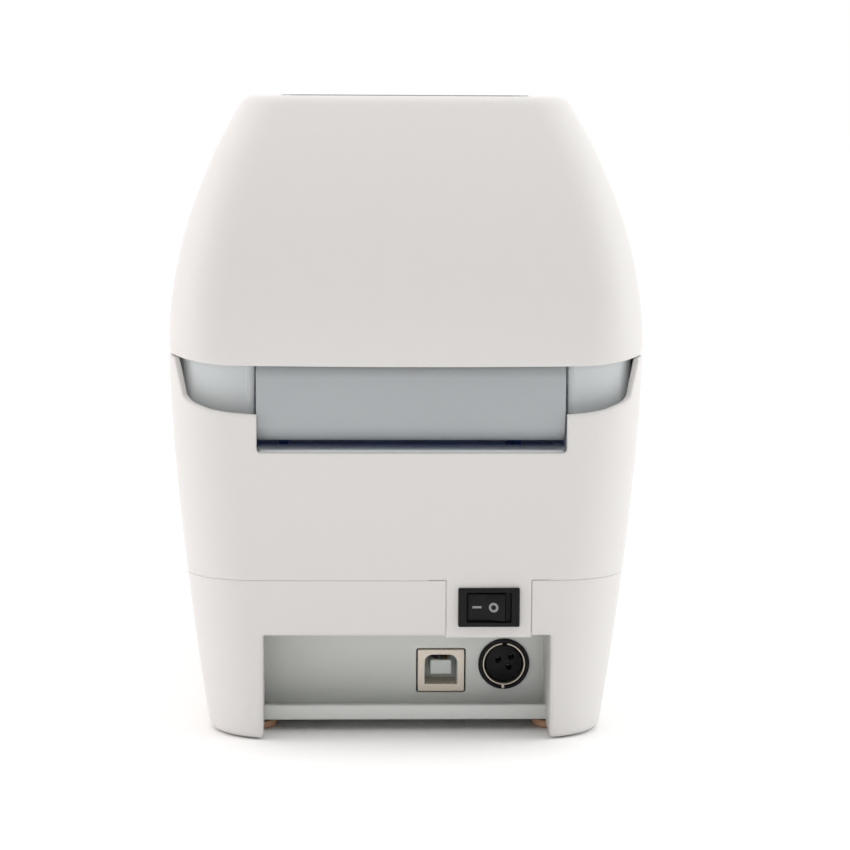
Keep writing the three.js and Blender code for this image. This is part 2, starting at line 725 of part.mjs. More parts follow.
function headBracket() {
  const plate = box(-32.6, 32.6, -85, -63, 88, 90.2);
  const upstand = box(-32.6, 32.6, -64.8, -63, 88, 94.6);
  const fins = [-80, -76, -72].map((y) => box(-14, 14, y, y + 1.4, 90, 93));
  const ears = [1, -1].map((side) => {
    const ear = cut(
      sideBox(side, 30.6, 32.6, -64.8, -55, 88.6, 94.6),
      bar("x", HEAD_PIVOT.y, HEAD_PIVOT.z, 1.75, -40, 40, 12),
    );
    return ear;
  });
  return join(plate, upstand, ...fins, ...ears);
}

function printHead() {
  const board = box(-31.6, 31.6, -84, -66, 86, 87.7);
  const heater = bar("x", PLATEN.y, 86.6, 2.2, -30, 30).intersect(
    box(-30, 30, -90, -60, 84.4, 86.4),
  );
  const connector = box(-12, 12, -69.5, -66, 83.6, 86.2);
  return join(board, heater, connector);
}

function headSpring() {
  return wire(new Helix(2.4, 5.9, 4), 0.45, 36, 4);
}

function paperGuide() {
  const shape = new THREE.Shape();
  shape.moveTo(-67.6, 83);
  shape.lineTo(-67.6, 79.4);
  shape.lineTo(-49, 79.4);
  shape.quadraticCurveTo(-43, 79.4, -38.6, 73.6);
  shape.lineTo(-36.4, 74.6);
  shape.quadraticCurveTo(-41.4, 82.6, -50, 83);
  const body = prism("x", shape, -33, 33);
  return cut(body, box(-5, 5, -60.4, -53.6, 70, 81.4), box(-3, 3, -58.6, -55.4, 70, 90));
}

function gapSensor() {
  const board = box(-9, 9, -61.5, -52.5, 77.4, 78.9);
  return board.add(box(-4.4, 4.4, -60, -54, 78.8, 81.1));
}

// ---------------------------------------------------------------- release latch

// The right release lever: hub on the rod, hook for the striker, and thumb tab through the case. It is drawn
// just clear of the striker; it leans back over it to latch the lid, and forward to let the lid go.
function latchLever() {
  const hub = bar("x", 0, 0, 4, 46.8, 53, 14);
  const hook = polygon([
    [-3.4, -1],
    [2.6, -1],
    [-1.6, 8],
    [-2.4, 22],
    [-2.4, 28.4],
    [0.9, 28.4],
    [0.9, 29.6],
    [-2.4, 31.6],
    [-5.3, 30.2],
    [-5.3, 10],
  ]);
  const hookPlate = prism("x", hook, 46.8, 49.6);
  const arm = box(51, 53, -3, 0, -1, 22.4);
  const tab = prism("x", roundedRect(-4.4, 0.2, 17, 24.4, 1.6), 52, 60.9, 1);
  const ridges = [18.6, 20.7, 22.8].map((z) => box(60.5, 61.5, -4, -0.2, z - 0.4, z + 0.4));
  const bore = bar("x", 0, 0, 2.2, 40, 60, 12);
  return cut(join(hub, hookPlate, arm, tab, ...ridges), bore);
}

function latchRod() {
  return bar("x", 0, 0, 2, -52.8, 52.8, 12);
}

// A torsion spring on the rod: coils, one leg on the chassis and one on the left lever's hub.
function latchSpring() {
  const points = [new THREE.Vector3(-38.2, -2.9, -12), new THREE.Vector3(-38.2, -2.9, -3)];
  const turns = 3;
  const perTurn = 8;
  for (let i = 0; i <= turns * perTurn; i++) {
    const angle = Math.PI + (i / perTurn) * Math.PI * 2;
    const x = -38.4 - (i / (turns * perTurn)) * 4.4;
    points.push(new THREE.Vector3(x, 2.9 * Math.cos(angle), -2.9 * Math.sin(angle)));
  }
  points.push(new THREE.Vector3(-43, -2.9, 4), new THREE.Vector3(-43, -2.9, 12));
  return wire(new THREE.CatmullRomCurve3(points), 0.4, 40, 4);
}

// ---------------------------------------------------------------- controls and electronics

// Along Y, with its outer face at y = 0.
function feedButton() {
  const cap = prism("y", roundedRect(-5, 5, -12, 12, 4.6), 0, 5.9, 2);
  const flange = prism("y", roundedRect(-6.4, 6.4, -13.4, 13.4, 5), 5.8, 6.5, 2);
  return join(cap, flange, box(-1.6, 1.6, 6.4, 7.1, -1.6, 1.6));
}

function controlBoard() {
  const board = box(-22, 22, -91.4, -90, 50, 74.4);
  const tact = box(-3, 3, -92.2, -91.3, 57, 63);
  return board.add(tact);
}

function lightPipe() {
  return bar("y", 0, 0, 1.85, 0, 5.1, 12);
}

function frontBezel() {
  const shape = polygon([
    [-95.4, 78.9],
    [-86.6, 78.9],
    [-86.6, 83],
    [-91.6, 83],
    [-93.4, 82],
    [-95.2, 80.4],
  ]);
  return prism("x", shape, -37.6, 37.6);
}

function tearBar() {
  const pitch = 2;
  const half = 32;
  const points = [
    [half, -86.8],
    [-half, -86.8],
  ];
  for (let x = -half; x < half; x += pitch) {
    points.push([x, -91.6], [x + pitch / 2, -92.8]);
  }
  points.push([half, -91.6]);
  return prism("z", polygon(points.reverse()), 83.3, 84.1);
}

function switchHousing() {
  const bezel = prism("y", roundedRect(-4.9, 4.9, -7.7, 7.7, 0.6), 0.25, 1.6, 1);
  const body = box(-6.4, 6.4, -11, 0.4, -4.1, 4.1);
  const well = box(-5.5, 5.5, -6, 4, -3.7, 3.7);
  const terminals = [-3.6, 3.6].map((x) => box(x - 0.4, x + 0.4, -16, -10.5, -2.2, 2.2));
  return cut(join(bezel, body, ...terminals), well);
}

function switchRocker() {
  const profile = polygon([
    [-4.3, -0.5],
    [0, -2.2],
    [4.3, -0.5],
    [4.3, 4.6],
    [0, 3.8],
    [-4.3, 4.6],
  ]);
  return prism("z", profile, -3.4, 3.4);
}

function usbShell() {
  const mouth = polygon([
    [-4.1, -4.3],
    [-4.1, 4.3],
    [2, 4.3],
    [3.8, 2.6],
    [3.8, -2.6],
    [2, -4.3],
  ]);
  const shell = box(-6, 6, 57, 75.6, -5.4, 5.4);
  return cut(shell, prism("y", mouth, 65, 80));
}

function powerJackHousing() {
  const body = box(-7, 7, 57, 73.4, -6.8, 6.8);
  const collar = bar("y", 0, 0, 6.5, 73, 76.2, 20);
  const groove = cut(bar("y", 0, 0, 5.95, 64, 80, 20), bar("y", 0, 0, 4.9, 63, 74.8, 20));
  const pins = [
    [-2.1, 2.1],
    [1.5, 0.9],
    [-1.3, -0.8],
  ].map(([x, z]) => bar("y", z, x, 0.6, 68, 80, 6));
  return cut(body.add(collar), groove, ...pins);
}

function powerJackShell() {
  const tube = cut(bar("y", 0, 0, 5.75, 64.4, 75.9, 20), bar("y", 0, 0, 5.2, 60, 80, 20));
  return cut(tube, box(-0.9, 0.9, 70, 80, 4, 7));
}

function mainBoard() {
  const board = box(-SHEET_HALF, SHEET_HALF, -40, 73, 6.2, 7.8);
  const chip = box(8, 20, -12, 0, 7.7, 9.2);
  const driver = box(-24, -14, -30, -22, 7.7, 9.6);
  const sockets = box(-35.2, -30, 40, 54, 7.7, 12).add(box(14, 30, -38, -33, 7.7, 13));
  return join(board, chip, driver, sockets);
}

function capacitor() {
  const can = bar("z", 0, 0, 5, 0, 9.4, 16);
  return cut(can, box(-4, 4, -0.3, 0.3, 9.1, 10), box(-0.3, 0.3, -4, 4, 9.1, 10));
}

function cableRun(points, steps) {
  const path = new THREE.CatmullRomCurve3(points.map((p) => new THREE.Vector3(...p)));
  return wire(path, 1.1, steps, 6);
}

// ---------------------------------------------------------------- assembly

const printer = new THREE.Group();

function group(parent = printer) {
  const made = new THREE.Group();
  parent.add(made);
  return made;
}

function place(parent, name, solid, material, position = [0, 0, 0], rotation = [0, 0, 0]) {
  const mesh = toMesh(name, solid, material);
  mesh.position.set(...position);
  mesh.rotation.set(...rotation);
  parent.add(mesh);
  return mesh;
}

const enclosure = group();
place(enclosure, "upper_case", upperCase(), WHITE);
place(enclosure, "bottom_case", bottomCase(), WHITE);
place(enclosure, "base_plate", basePlate(), PANEL_GREY);
place(enclosure, "io_panel", ioPanel(), PANEL_GREY);
place(enclosure, "front_bezel", frontBezel(), DARK);
place(enclosure, "tear_bar", tearBar(), STEEL);
FOOT_SPOTS.forEach(([x, y], n) => {
  const name = `${y > 0 ? "rear" : "front"}_foot_${x > 0 ? "right" : "left"}`;
  place(enclosure, name, foot(), FOOT_RUBBER, [x, y, 0]);
});
SCREW_SPOTS.forEach(([x, y]) => {
  const name = `case_screw_${y > 0 ? "rear" : "front"}_${x > 0 ? "right" : "left"}`;
  place(enclosure, name, caseScrew(), STEEL, [x, y, 1.6]);
});

const lid = group();
place(lid, "lid_cover", lidCover(), WHITE);
place(lid, "lid_window", lidWindow(), WINDOW);
place(lid, "lid_inner_frame", lidInnerFrame(), GREY);
place(lid, "hinge_pin_right", hingePin(), STEEL, [SLOT_X + 33.3, HINGE.y, HINGE.z]);
place(lid, "hinge_pin_left", hingePin(), STEEL, [SLOT_X - 33.3, HINGE.y, HINGE.z], [0, 0, Math.PI]);

const head = group(lid);
place(head, "head_bracket", headBracket(), ALUMINIUM);
place(head, "print_head", printHead(), CERAMIC);
place(head, "head_spring_right", headSpring(), STEEL, [24, -76, 93.85]);
place(head, "head_spring_left", headSpring(), STEEL, [-24, -76, 93.85]);

const bay = group();
place(bay, "media_tray", mediaTray(), GREY);
const guides = group(bay);
guides.position.y = ROLL.y;
place(guides, "media_guide_right", mediaGuide(), BLUE);
place(guides, "media_guide_left", mediaGuide(), BLUE, [0, 0, 0], [0, 0, Math.PI]);
place(guides, "roll_hub_right", rollHub(), NYLON, [GUIDE_INNER_X - 0.3, 0, ROLL.z]);
place(guides, "roll_hub_left", rollHub(), NYLON, [0.3 - GUIDE_INNER_X, 0, ROLL.z], [0, 0, Math.PI]);
const guidePinion = gear(GUIDE_PINION_TEETH, RACK_MODULE, RACK_Z[0], RACK_Z[1], 2.15);
const halfToothTurn = Math.PI / GUIDE_PINION_TEETH;
place(guides, "guide_pinion", guidePinion, NYLON, [0, 0, 0], [0, 0, halfToothTurn]);
place(guides, "rack_cover", rackCover(), DARK);

const mechanism = group();
place(mechanism, "print_chassis", printChassis(), STEEL);
place(mechanism, "paper_guide", paperGuide(), BLACK);
place(mechanism, "gap_sensor", gapSensor(), BOARD);
const platen = group(mechanism);
platen.position.set(0, PLATEN.y, PLATEN.z);
place(platen, "platen_shaft", platenShaft(), STEEL);
place(platen, "platen_rubber", platenRubber(), RUBBER);
place(platen, "platen_bushing_right", platenBushing(), NYLON, [32.2, 0, 0]);
place(platen, "platen_bushing_left", platenBushing(), NYLON, [-32.2, 0, 0], [0, 0, Math.PI]);

// Gears are made about Z, so each stands in a group that turns Z onto X. Their phases put a tooth in a gap.
function gearGroup({ y, z }) {
  const made = group(mechanism);
  made.position.set(0, y, z);
  made.matrixAutoUpdate = false;
  made.matrix.copy(LOCAL_TO_AXIS.x).setPosition(0, y, z);
  return made;
}
const platenGear = gear(TEETH.platen, DRIVE_MODULE, 37, 40.6, 2.7);
place(gearGroup(PLATEN), "platen_gear", platenGear, NYLON, [0, 0, 0], [0, 0, REDUCTION_ANGLE]);
const reductionTurn = REDUCTION_ANGLE + Math.PI + Math.PI / TEETH.small;
place(
  gearGroup(REDUCTION),
  "reduction_gear",
  reductionGearInPhase(),
  NYLON,
  [0, 0, 36.6],
  [0, 0, reductionTurn],
);
const motorGear = gear(TEETH.motor, MOTOR_MODULE, 40.9, 44.2, 1.25);
const motorTurn = MOTOR_ANGLE + Math.PI + Math.PI / TEETH.motor;
place(gearGroup(MOTOR), "motor_pinion", motorGear, STEEL, [0, 0, 0], [0, 0, motorTurn]);
place(mechanism, "motor_body", motorBody(), STEEL, [0, MOTOR.y, MOTOR.z]);
place(mechanism, "motor_shaft", motorShaft(), STEEL, [0, MOTOR.y, MOTOR.z]);

// The large wheel is turned on its small wheel so that one of its teeth points at the motor.
function reductionGearInPhase() {
  const small = gear(TEETH.small, DRIVE_MODULE, 0, 4.6, 2.2);
  const offset = THREE.MathUtils.radToDeg(MOTOR_ANGLE - reductionTurn);
  return gear(TEETH.large, MOTOR_MODULE, 4.5, 7.3, 2.2).rotate([0, 0, offset]).add(small);
}

const latch = group();
latch.position.set(0, LATCH.y, LATCH.z);
place(latch, "latch_rod", latchRod(), STEEL);
place(latch, "latch_lever_right", latchLever(), BLUE);
place(latch, "latch_lever_left", latchLever().mirror([1, 0, 0]), BLUE);
place(latch, "latch_spring", latchSpring(), STEEL);

const controls = group();
place(controls, "feed_button", feedButton(), BLUE, [0, -100.9, 60]);
place(controls, "control_board", controlBoard(), BOARD);
place(controls, "power_light", lightPipe(), LENS_GREEN, [-7, -96.9, 71.5]);
place(controls, "status_light", lightPipe(), LENS_RED, [7, -96.9, 71.5]);
const rockerPivot = [SWITCH.x, SWITCH.y - 3.1, SWITCH.z];
place(controls, "switch_housing", switchHousing(), BLACK, [SWITCH.x, SWITCH.y, SWITCH.z]);
const ROCKER_REST = THREE.MathUtils.degToRad(-9); // pressed on its right half
place(controls, "switch_rocker", switchRocker(), BLACK, rockerPivot, [0, 0, ROCKER_REST]);

const electronics = group();
place(electronics, "main_board", mainBoard(), BOARD);
place(electronics, "capacitor", capacitor(), BLACK, [-26, 12, 8]);
place(electronics, "usb_shell", usbShell(), TIN, [USB.x, 0, USB.z]);
place(electronics, "usb_insert", box(-2.9, 2.9, 65.3, 74.4, -1.6, 1.9), NYLON, [USB.x, 0, USB.z]);
place(electronics, "power_jack_housing", powerJackHousing(), BLACK, [JACK.x, 0, JACK.z]);
place(electronics, "power_jack_shell", powerJackShell(), TIN, [JACK.x, 0, JACK.z]);
const lidRun = [
  [-28, -60, 101],
  [-42, -57, 102.6],
  [-50, -44, 104],
  [-50, 20, 104],
  [-49, 70, 103],
  [-48, 84.6, 98],
];
const baseRun = [
  [-50, 84.4, 89],
  [-50, 82.5, 78],
  [-49.6, 81, 66],
  [-49, 74, 50],
  [-48.7, 66, 32],
  [-48.2, 60, 22],
  [-44, 50, 12.4],
  [-36.9, 47, 10.2],
];
place(electronics, "head_cable_lid", cableRun(lidRun, 14), CABLE);
place(electronics, "head_cable_base", cableRun(baseRun, 16), CABLE);

export default printer;
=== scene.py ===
"""Looks of a desktop thermal label printer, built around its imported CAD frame.

Lengths are written in millimetres and become metres where a mesh is made.
"""

from math import asin, ceil, copysign, cos, pi, radians, sin, sqrt, tan

import bmesh
import bpy
from mathutils import Matrix, Vector


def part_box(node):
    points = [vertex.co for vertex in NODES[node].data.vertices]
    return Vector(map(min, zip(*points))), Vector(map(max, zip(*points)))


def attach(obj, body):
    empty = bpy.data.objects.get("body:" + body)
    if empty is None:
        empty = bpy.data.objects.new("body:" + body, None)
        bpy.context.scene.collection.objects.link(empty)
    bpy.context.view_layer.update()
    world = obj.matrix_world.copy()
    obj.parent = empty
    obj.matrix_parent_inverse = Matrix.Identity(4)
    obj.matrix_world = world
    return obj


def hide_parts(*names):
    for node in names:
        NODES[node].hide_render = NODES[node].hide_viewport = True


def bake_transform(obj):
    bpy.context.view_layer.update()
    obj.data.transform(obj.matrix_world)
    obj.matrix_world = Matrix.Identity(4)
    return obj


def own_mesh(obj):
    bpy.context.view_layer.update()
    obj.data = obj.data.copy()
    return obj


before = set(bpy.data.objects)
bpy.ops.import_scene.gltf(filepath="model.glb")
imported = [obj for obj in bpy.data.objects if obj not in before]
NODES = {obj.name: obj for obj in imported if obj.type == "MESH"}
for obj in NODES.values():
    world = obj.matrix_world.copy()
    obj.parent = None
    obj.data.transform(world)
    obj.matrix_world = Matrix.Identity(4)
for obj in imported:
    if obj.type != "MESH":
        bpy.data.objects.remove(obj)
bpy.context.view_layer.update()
MM = 0.001


def corner_mm(name):
    """The lowest and highest corner of a CAD node in millimetres."""
    low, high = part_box(name)
    return low / MM, high / MM


def centre_mm(name):
    low, high = corner_mm(name)
    return (low + high) / 2


# --- dimensions

HEIGHT = 161.0
HALF_WIDTH = 60.0
HALF_DEPTH = 100.0
GROUND_GAP = 0.3
WALL = 2.4
PLAY = 0.25
WIDEST_Z = 98.0
REAR_BULGE_Z = 94.0
FRONT_BULGE_Z = 50.0
FRONT_EDGE_Z = 84.0
REAR_CROWN, FRONT_CROWN = 1.5, 5.0
CASE_SPLIT_Z = 40.9
SEAM_Z = 96.5
SEAM_BEND_Y, SEAM_FRONT_Y = 80.0, -92.0
HINGE_Y, HINGE_Z = 93.0, 91.5
SLOT_X, SLOT_HALF, SLOT_FLOOR_Z = -1.0, 38.6, 73.0
RECESS_HALF, RECESS_TOP_Z, RECESS_FRONT_Y = 36.0, 26.8, 72.0
TAB_X = (-31.2, -9.6)
TAB_Z = 26.3
WINDOW_HALF = 32.0
WINDOW_Y = (-52.0, 69.0)
LIGHT_X, LIGHT_Z = 7, 71.5
BUTTON_Z = 60
SOCKET_SHIFT = 0.4
SIDES = ((1, "right"), (-1, "left"))
FEET = ["rear_foot_right", "rear_foot_left", "front_foot_right", "front_foot_left"]
SCREWS = [name for name in NODES if name.startswith("case_screw")]

# --- materials


def node(tree, kind, **inputs):
    """A new node. Each value sets an input or a property, or is linked to its input."""
    made = tree.nodes.new(kind)
    for key, value in inputs.items():
        name = key.replace("_", " ")
        if name not in made.inputs:
            setattr(made, key, value)
        elif isinstance(value, bpy.types.NodeSocket):
            tree.links.new(value, made.inputs[name])
        else:
            made.inputs[name].default_value = value
    return made


def linear(srgb, shade_by=1.0):
    """Eight-bit sRGB values as a linear colour, darkened by a factor."""
    shares = [value / 255 for value in srgb]
    return (*[shade_by * (c / 12.92 if c <= 0.04045 else ((c + 0.055) / 1.055) ** 2.4)
              for c in shares], 1.0)


def blank(name, color):
    """An empty material for a material slot, and its node tree."""
    mat = bpy.data.materials.new(name)
    mat.use_nodes = True
    mat.diffuse_color = color
    mat.node_tree.nodes.clear()
    return mat, mat.node_tree


def surface(name, srgb, rough=0.45, metal=0.0, grain=0.3, bump=0.1, tint=0.03, edge=0.3,
            stretch=(1, 1, 1), specular=0.5, coat=0.0, glow=0.0, mottle=30.0):
    """A material with mottled colour, uneven roughness, a fine grain and softly rounded edges."""
    mat, tree = blank(name, linear(srgb))
    place = node(tree, "ShaderNodeTexCoord").outputs["Object"]
    place = node(tree, "ShaderNodeMapping", Vector=place, Scale=stretch).outputs["Vector"]
    cloud = node(tree, "ShaderNodeTexNoise", Vector=place, Scale=1000 / mottle, Detail=3.0,
                 Roughness=0.6)
    spread = node(tree, "ShaderNodeMapRange", Value=cloud.outputs["Fac"], From_Min=0.35,
                  From_Max=0.75)
    color = node(tree, "ShaderNodeMix", data_type="RGBA", A=linear(srgb),
                 B=linear(srgb, 1 - 3 * tint), Factor=spread.outputs["Result"])
    fine = node(tree, "ShaderNodeTexNoise", Vector=place, Scale=1000 / grain, Detail=2.0)
    gloss = node(tree, "ShaderNodeMapRange", Value=fine.outputs["Fac"],
                 To_Min=max(rough - 0.08, 0.02), To_Max=min(rough + 0.1, 1))
    relief = node(tree, "ShaderNodeBump", Height=fine.outputs["Fac"], Strength=bump,
                  Distance=grain * 0.3 * MM)
    if edge:
        bevel = node(tree, "ShaderNodeBevel", Radius=edge * MM, samples=4)
        tree.links.new(bevel.outputs["Normal"], relief.inputs["Normal"])
    bsdf = node(tree, "ShaderNodeBsdfPrincipled", Base_Color=color.outputs["Result"],
                Roughness=gloss.outputs["Result"], Normal=relief.outputs["Normal"],
                Metallic=metal, Specular_IOR_Level=specular, Coat_Weight=coat, Coat_Roughness=0.15)
    if glow:
        bsdf.inputs["Emission Color"].default_value = linear(srgb)
        bsdf.inputs["Emission Strength"].default_value = glow
    node(tree, "ShaderNodeOutputMaterial", Surface=bsdf.outputs["BSDF"])
    return mat


def tinted_glass(name, srgb, clear):
    """A tinted clear plastic: part see-through, part body colour, with a glossy skin."""
    mat, tree = blank(name, (*linear(srgb)[:3], 0.5))
    place = node(tree, "ShaderNodeTexCoord").outputs["Object"]
    cloud = node(tree, "ShaderNodeTexNoise", Vector=place, Scale=40.0, Detail=2.0)
    color = node(tree, "ShaderNodeMix", data_type="RGBA", A=linear(srgb), B=linear(srgb, 0.85),
                 Factor=cloud.outputs["Fac"]).outputs["Result"]
    body = node(tree, "ShaderNodeBsdfPrincipled", Base_Color=color, Roughness=0.04)
    clearer = node(tree, "ShaderNodeGamma", Color=color, Gamma=0.65)
    through = node(tree, "ShaderNodeBsdfTransparent", Color=clearer.outputs["Color"])
    fresnel = node(tree, "ShaderNodeFresnel", IOR=1.5)
    amount = node(tree, "ShaderNodeMath", operation="MULTIPLY_ADD", Value=fresnel.outputs["Fac"])
    amount.inputs[1].default_value = 0.9
    amount.inputs[2].default_value = 1 - clear
    mix = node(tree, "ShaderNodeMixShader", Fac=amount.outputs["Value"])
    tree.links.new(through.outputs["BSDF"], mix.inputs[1])
    tree.links.new(body.outputs["BSDF"], mix.inputs[2])
    node(tree, "ShaderNodeOutputMaterial", Surface=mix.outputs["Shader"])
    return mat


def circuit(name):
    """Solder mask with faint copper tracks and plated dots."""
    mat = surface(name, (28, 92, 62), rough=0.35, grain=0.4, edge=0.15, coat=0.4)
    tree = mat.node_tree
    bsdf = next(n for n in tree.nodes if n.type == "BSDF_PRINCIPLED")
    mask = bsdf.inputs["Base Color"].links[0].from_socket
    place = next(n for n in tree.nodes if n.type == "TEX_COORD").outputs["Object"]
    black = (0, 0, 0, 1)
    tracks = node(tree, "ShaderNodeTexBrick", Vector=place, Scale=260.0, Mortar_Size=0.03,
                  Color1=black, Color2=black, Mortar=(1, 1, 1, 1))
    lighter = node(tree, "ShaderNodeMix", data_type="RGBA", A=mask, B=linear((62, 132, 92)),
                   Factor=tracks.outputs["Color"])
    dots = node(tree, "ShaderNodeTexVoronoi", Vector=place, Scale=330.0)
    near = node(tree, "ShaderNodeMath", operation="LESS_THAN", Value=dots.outputs["Distance"])
    near.inputs[1].default_value = 0.16
    plated = node(tree, "ShaderNodeMix", data_type="RGBA", A=lighter.outputs["Result"],
                  B=linear((205, 190, 140)), Factor=near.outputs["Value"])
    tree.links.new(plated.outputs["Result"], bsdf.inputs["Base Color"])
    return mat


WHITE = surface("white_moulding", (215, 213, 211), rough=0.42, grain=0.35, tint=0)
# The tail's grey is the tray's grey darkened: painted shade for the shade that falls under the
# lid's overhang.
TAIL_GREY_PAINTED_SHADE = surface("tail_moulding_painted_shade", (166, 171, 174), grain=0.35, tint=0.01)
TRAY_GREY = surface("tray_moulding", (225, 230, 231), grain=0.35, tint=0.01)
PANEL_GREY = surface("coated_steel", (219, 222, 219), rough=0.5, metal=0.15,
                     bump=0.12, tint=0.012)
BLACK = surface("black_moulding", (13, 13, 15), grain=0.25, bump=0.12, tint=0.1,
                edge=0.15, specular=0.2)
DARK = surface("dark_moulding", (48, 50, 53), rough=0.5, bump=0.2, tint=0.05)
MARK = surface("printed_mark", (142, 142, 145), rough=0.5, grain=0.2, edge=0)
BLUE = surface("blue_moulding", (62, 108, 172), rough=0.35)
NYLON = surface("natural_nylon", (228, 224, 210), rough=0.4, bump=0.08, edge=0.15)
STEEL = surface("zinc_plated_steel", (176, 180, 184), rough=0.32, metal=0.9, grain=0.2,
                bump=0.08, tint=0.06, stretch=(1, 6, 1), edge=0.2)
TIN = surface("tin_plate", (226, 218, 202), rough=0.3, metal=0.75, bump=0.06,
              tint=0.05, edge=0.15)
SOCKET_GREY = surface("socket_grey", (216, 222, 219), rough=0.5, bump=0.06,
                      tint=0.02)
SOCKET_TIN = surface("socket_tin", (252, 241, 225), rough=0.4, bump=0.06, tint=0.02,
                     edge=0.15)
ALUMINIUM = surface("cast_aluminium", (186, 190, 194), metal=0.85, grain=0.5,
                    bump=0.2, tint=0.05)
BRASS = surface("brass", (196, 158, 84), rough=0.3, metal=0.95, grain=0.2, bump=0.05,
                tint=0.05, edge=0.1)
PLATEN_RUBBER = surface("platen_rubber", (38, 38, 40), rough=0.75, grain=0.15,
                        bump=0.35, tint=0.1, specular=0.3)
FOOT_RUBBER = surface("foot_rubber", (214, 172, 138), rough=0.75, bump=0.3,
                      tint=0.05, specular=0.3)
GLAZE = surface("heater_glaze", (96, 84, 74), rough=0.12, grain=0.6, bump=0.03,
                tint=0.05, edge=0, coat=0.8)
CERAMIC = surface("glazed_ceramic", (232, 228, 218), rough=0.2, grain=0.4, bump=0.04,
                  tint=0.02, coat=0.5)
CABLE = surface("cable_jacket", (208, 208, 202), rough=0.55, grain=0.6, bump=0.3,
                edge=0)
BOARD = circuit("circuit_board")
WINDOW = tinted_glass("tinted_window", (142, 158, 196), clear=0.86)
WINDOW_EDGE = surface("window_edge", (206, 208, 216), rough=0.35, bump=0.04, edge=0)
PIPE_GREEN = surface("green_light_pipe", (150, 214, 160), rough=0.25, grain=0.5,
                     edge=0.2, glow=0.25)
PIPE_AMBER = surface("amber_light_pipe", (222, 176, 120), rough=0.25, grain=0.5,
                     edge=0.2, glow=0.1)
FLOOR = surface("pale_floor", (250, 250, 250), rough=0.9, grain=1.5, bump=0.05,
                tint=0.002, edge=0, specular=0.1, mottle=300)

# --- mesh helpers


class Solid:
    """Vertices and faces of one piece, gathered from several closed forms."""

    def __init__(self, verts=(), faces=()):
        self.verts = [tuple(v) for v in verts]
        self.faces = list(faces)

    def take(self, other):
        start = len(self.verts)
        self.verts += other.verts
        self.faces += [[i + start for i in face] for face in other.faces]

    def moved(self, matrix):
        self.verts = [tuple(matrix @ Vector(v)) for v in self.verts]
        return self


def collect(*solids):
    whole = Solid()
    for solid in solids:
        whole.take(solid)
    return whole


def loft(loops, joined=False):
    """A closed form through loops of points, capped at its ends or joined end to end."""
    n, count = len(loops[0]), len(loops)
    faces = []
    for row in range(count if joined else count - 1):
        a, b = row * n, (row + 1) % count * n
        for i in range(n):
            j = (i + 1) % n
            faces.append([a + i, a + j, b + j, b + i])
    if not joined:
        faces += [list(range(n))[::-1], [(count - 1) * n + i for i in range(n)]]
    return Solid([point for loop in loops for point in loop], faces)


def bevelled(bm, width, segments, angle=30):
    """The solid of a BMesh, with its sharper edges rounded by a width."""
    bmesh.ops.recalc_face_normals(bm, faces=bm.faces)
    if width > 0:
        limit = radians(angle)
        edges = [e for e in bm.edges if len(e.link_faces) == 2 and e.calc_face_angle() > limit]
        bmesh.ops.bevel(bm, geom=edges, offset=width, segments=segments, profile=0.5,
                        affect="EDGES", clamp_overlap=True)
    bm.verts.index_update()
    solid = Solid([v.co for v in bm.verts], [[v.index for v in f.verts] for f in bm.faces])
    bm.free()
    return solid


def block(x0, x1, y0, y1, z0, z1, width=0.3, segments=2):
    """A box with rounded edges."""
    bm = bmesh.new()
    bmesh.ops.create_cube(bm, size=1)
    for v in bm.verts:
        v.co = Vector((x1 if v.co.x > 0 else x0, y1 if v.co.y > 0 else y0,
                       z1 if v.co.z > 0 else z0))
    return bevelled(bm, width, segments)


def to_axis(axis, a, b, along):
    """Prism coordinates (a, b, along) in the frame: (y, z) for x, (z, x) for y, (x, y) for z."""
    return {"x": (along, a, b), "y": (b, along, a), "z": (a, b, along)}[axis]


def prism(axis, points, start, end, width=0.3, segments=2, angle=30):
    """An outline drawn out along an axis, with rounded edges."""
    bm = bmesh.new()
    low = [bm.verts.new(to_axis(axis, a, b, start)) for a, b in points]
    high = [bm.verts.new(to_axis(axis, a, b, end)) for a, b in points]
    bm.faces.new(low)
    bm.faces.new(high)
    for i in range(len(points)):
        j = (i + 1) % len(points)
        bm.faces.new((low[i], low[j], high[j], high[i]))
    return bevelled(bm, width, segments, angle)


def arc(cx, cy, radius, start, end, steps):
    """Points on an arc, with its angles in degrees."""
    angles = [radians(start + (end - start) * i / steps) for i in range(steps + 1)]
    return [(cx + radius * cos(a), cy + radius * sin(a)) for a in angles]


def curve(p0, p1, p2, steps):
    """Points on a quadratic curve."""
    return [tuple((1 - t) ** 2 * a + 2 * t * (1 - t) * b + t * t * c
                  for a, b, c in zip(p0, p1, p2))
            for t in [i / steps for i in range(steps + 1)]]


def rounded(a0, a1, b0, b1, radius, steps=8):
    """A rectangle with rounded corners."""
    return (arc(a1 - radius, b0 + radius, radius, -90, 0, steps)
            + arc(a1 - radius, b1 - radius, radius, 0, 90, steps)
            + arc(a0 + radius, b1 - radius, radius, 90, 180, steps)
            + arc(a0 + radius, b0 + radius, radius, 180, 270, steps))


def turned(axis, a, b, profile, sides=48):
    """A turned form. The profile is a closed list of (radius, along)."""
    turns = [(cos(2 * pi * i / sides), sin(2 * pi * i / sides)) for i in range(sides)]
    solid = loft([[to_axis(axis, a + r * x, b + r * y, along) for x, y in turns]
                  for r, along in profile], joined=True)
    for row, (r, _) in reversed(list(enumerate(profile))):
        if r < 1e-6 and profile[(row + 1) % len(profile)][0] < 1e-6:
            del solid.faces[row * sides:(row + 1) * sides]
    return solid


def bar(axis, a, b, radius, start, end, e=0.25, sides=40):
    """A round bar with rounded ends."""
    profile = [(0, start), (radius - e, start), (radius - 0.3 * e, start + 0.3 * e),
               (radius, start + e), (radius, end - e), (radius - 0.3 * e, end - 0.3 * e),
               (radius - e, end), (0, end)]
    return turned(axis, a, b, profile, sides)


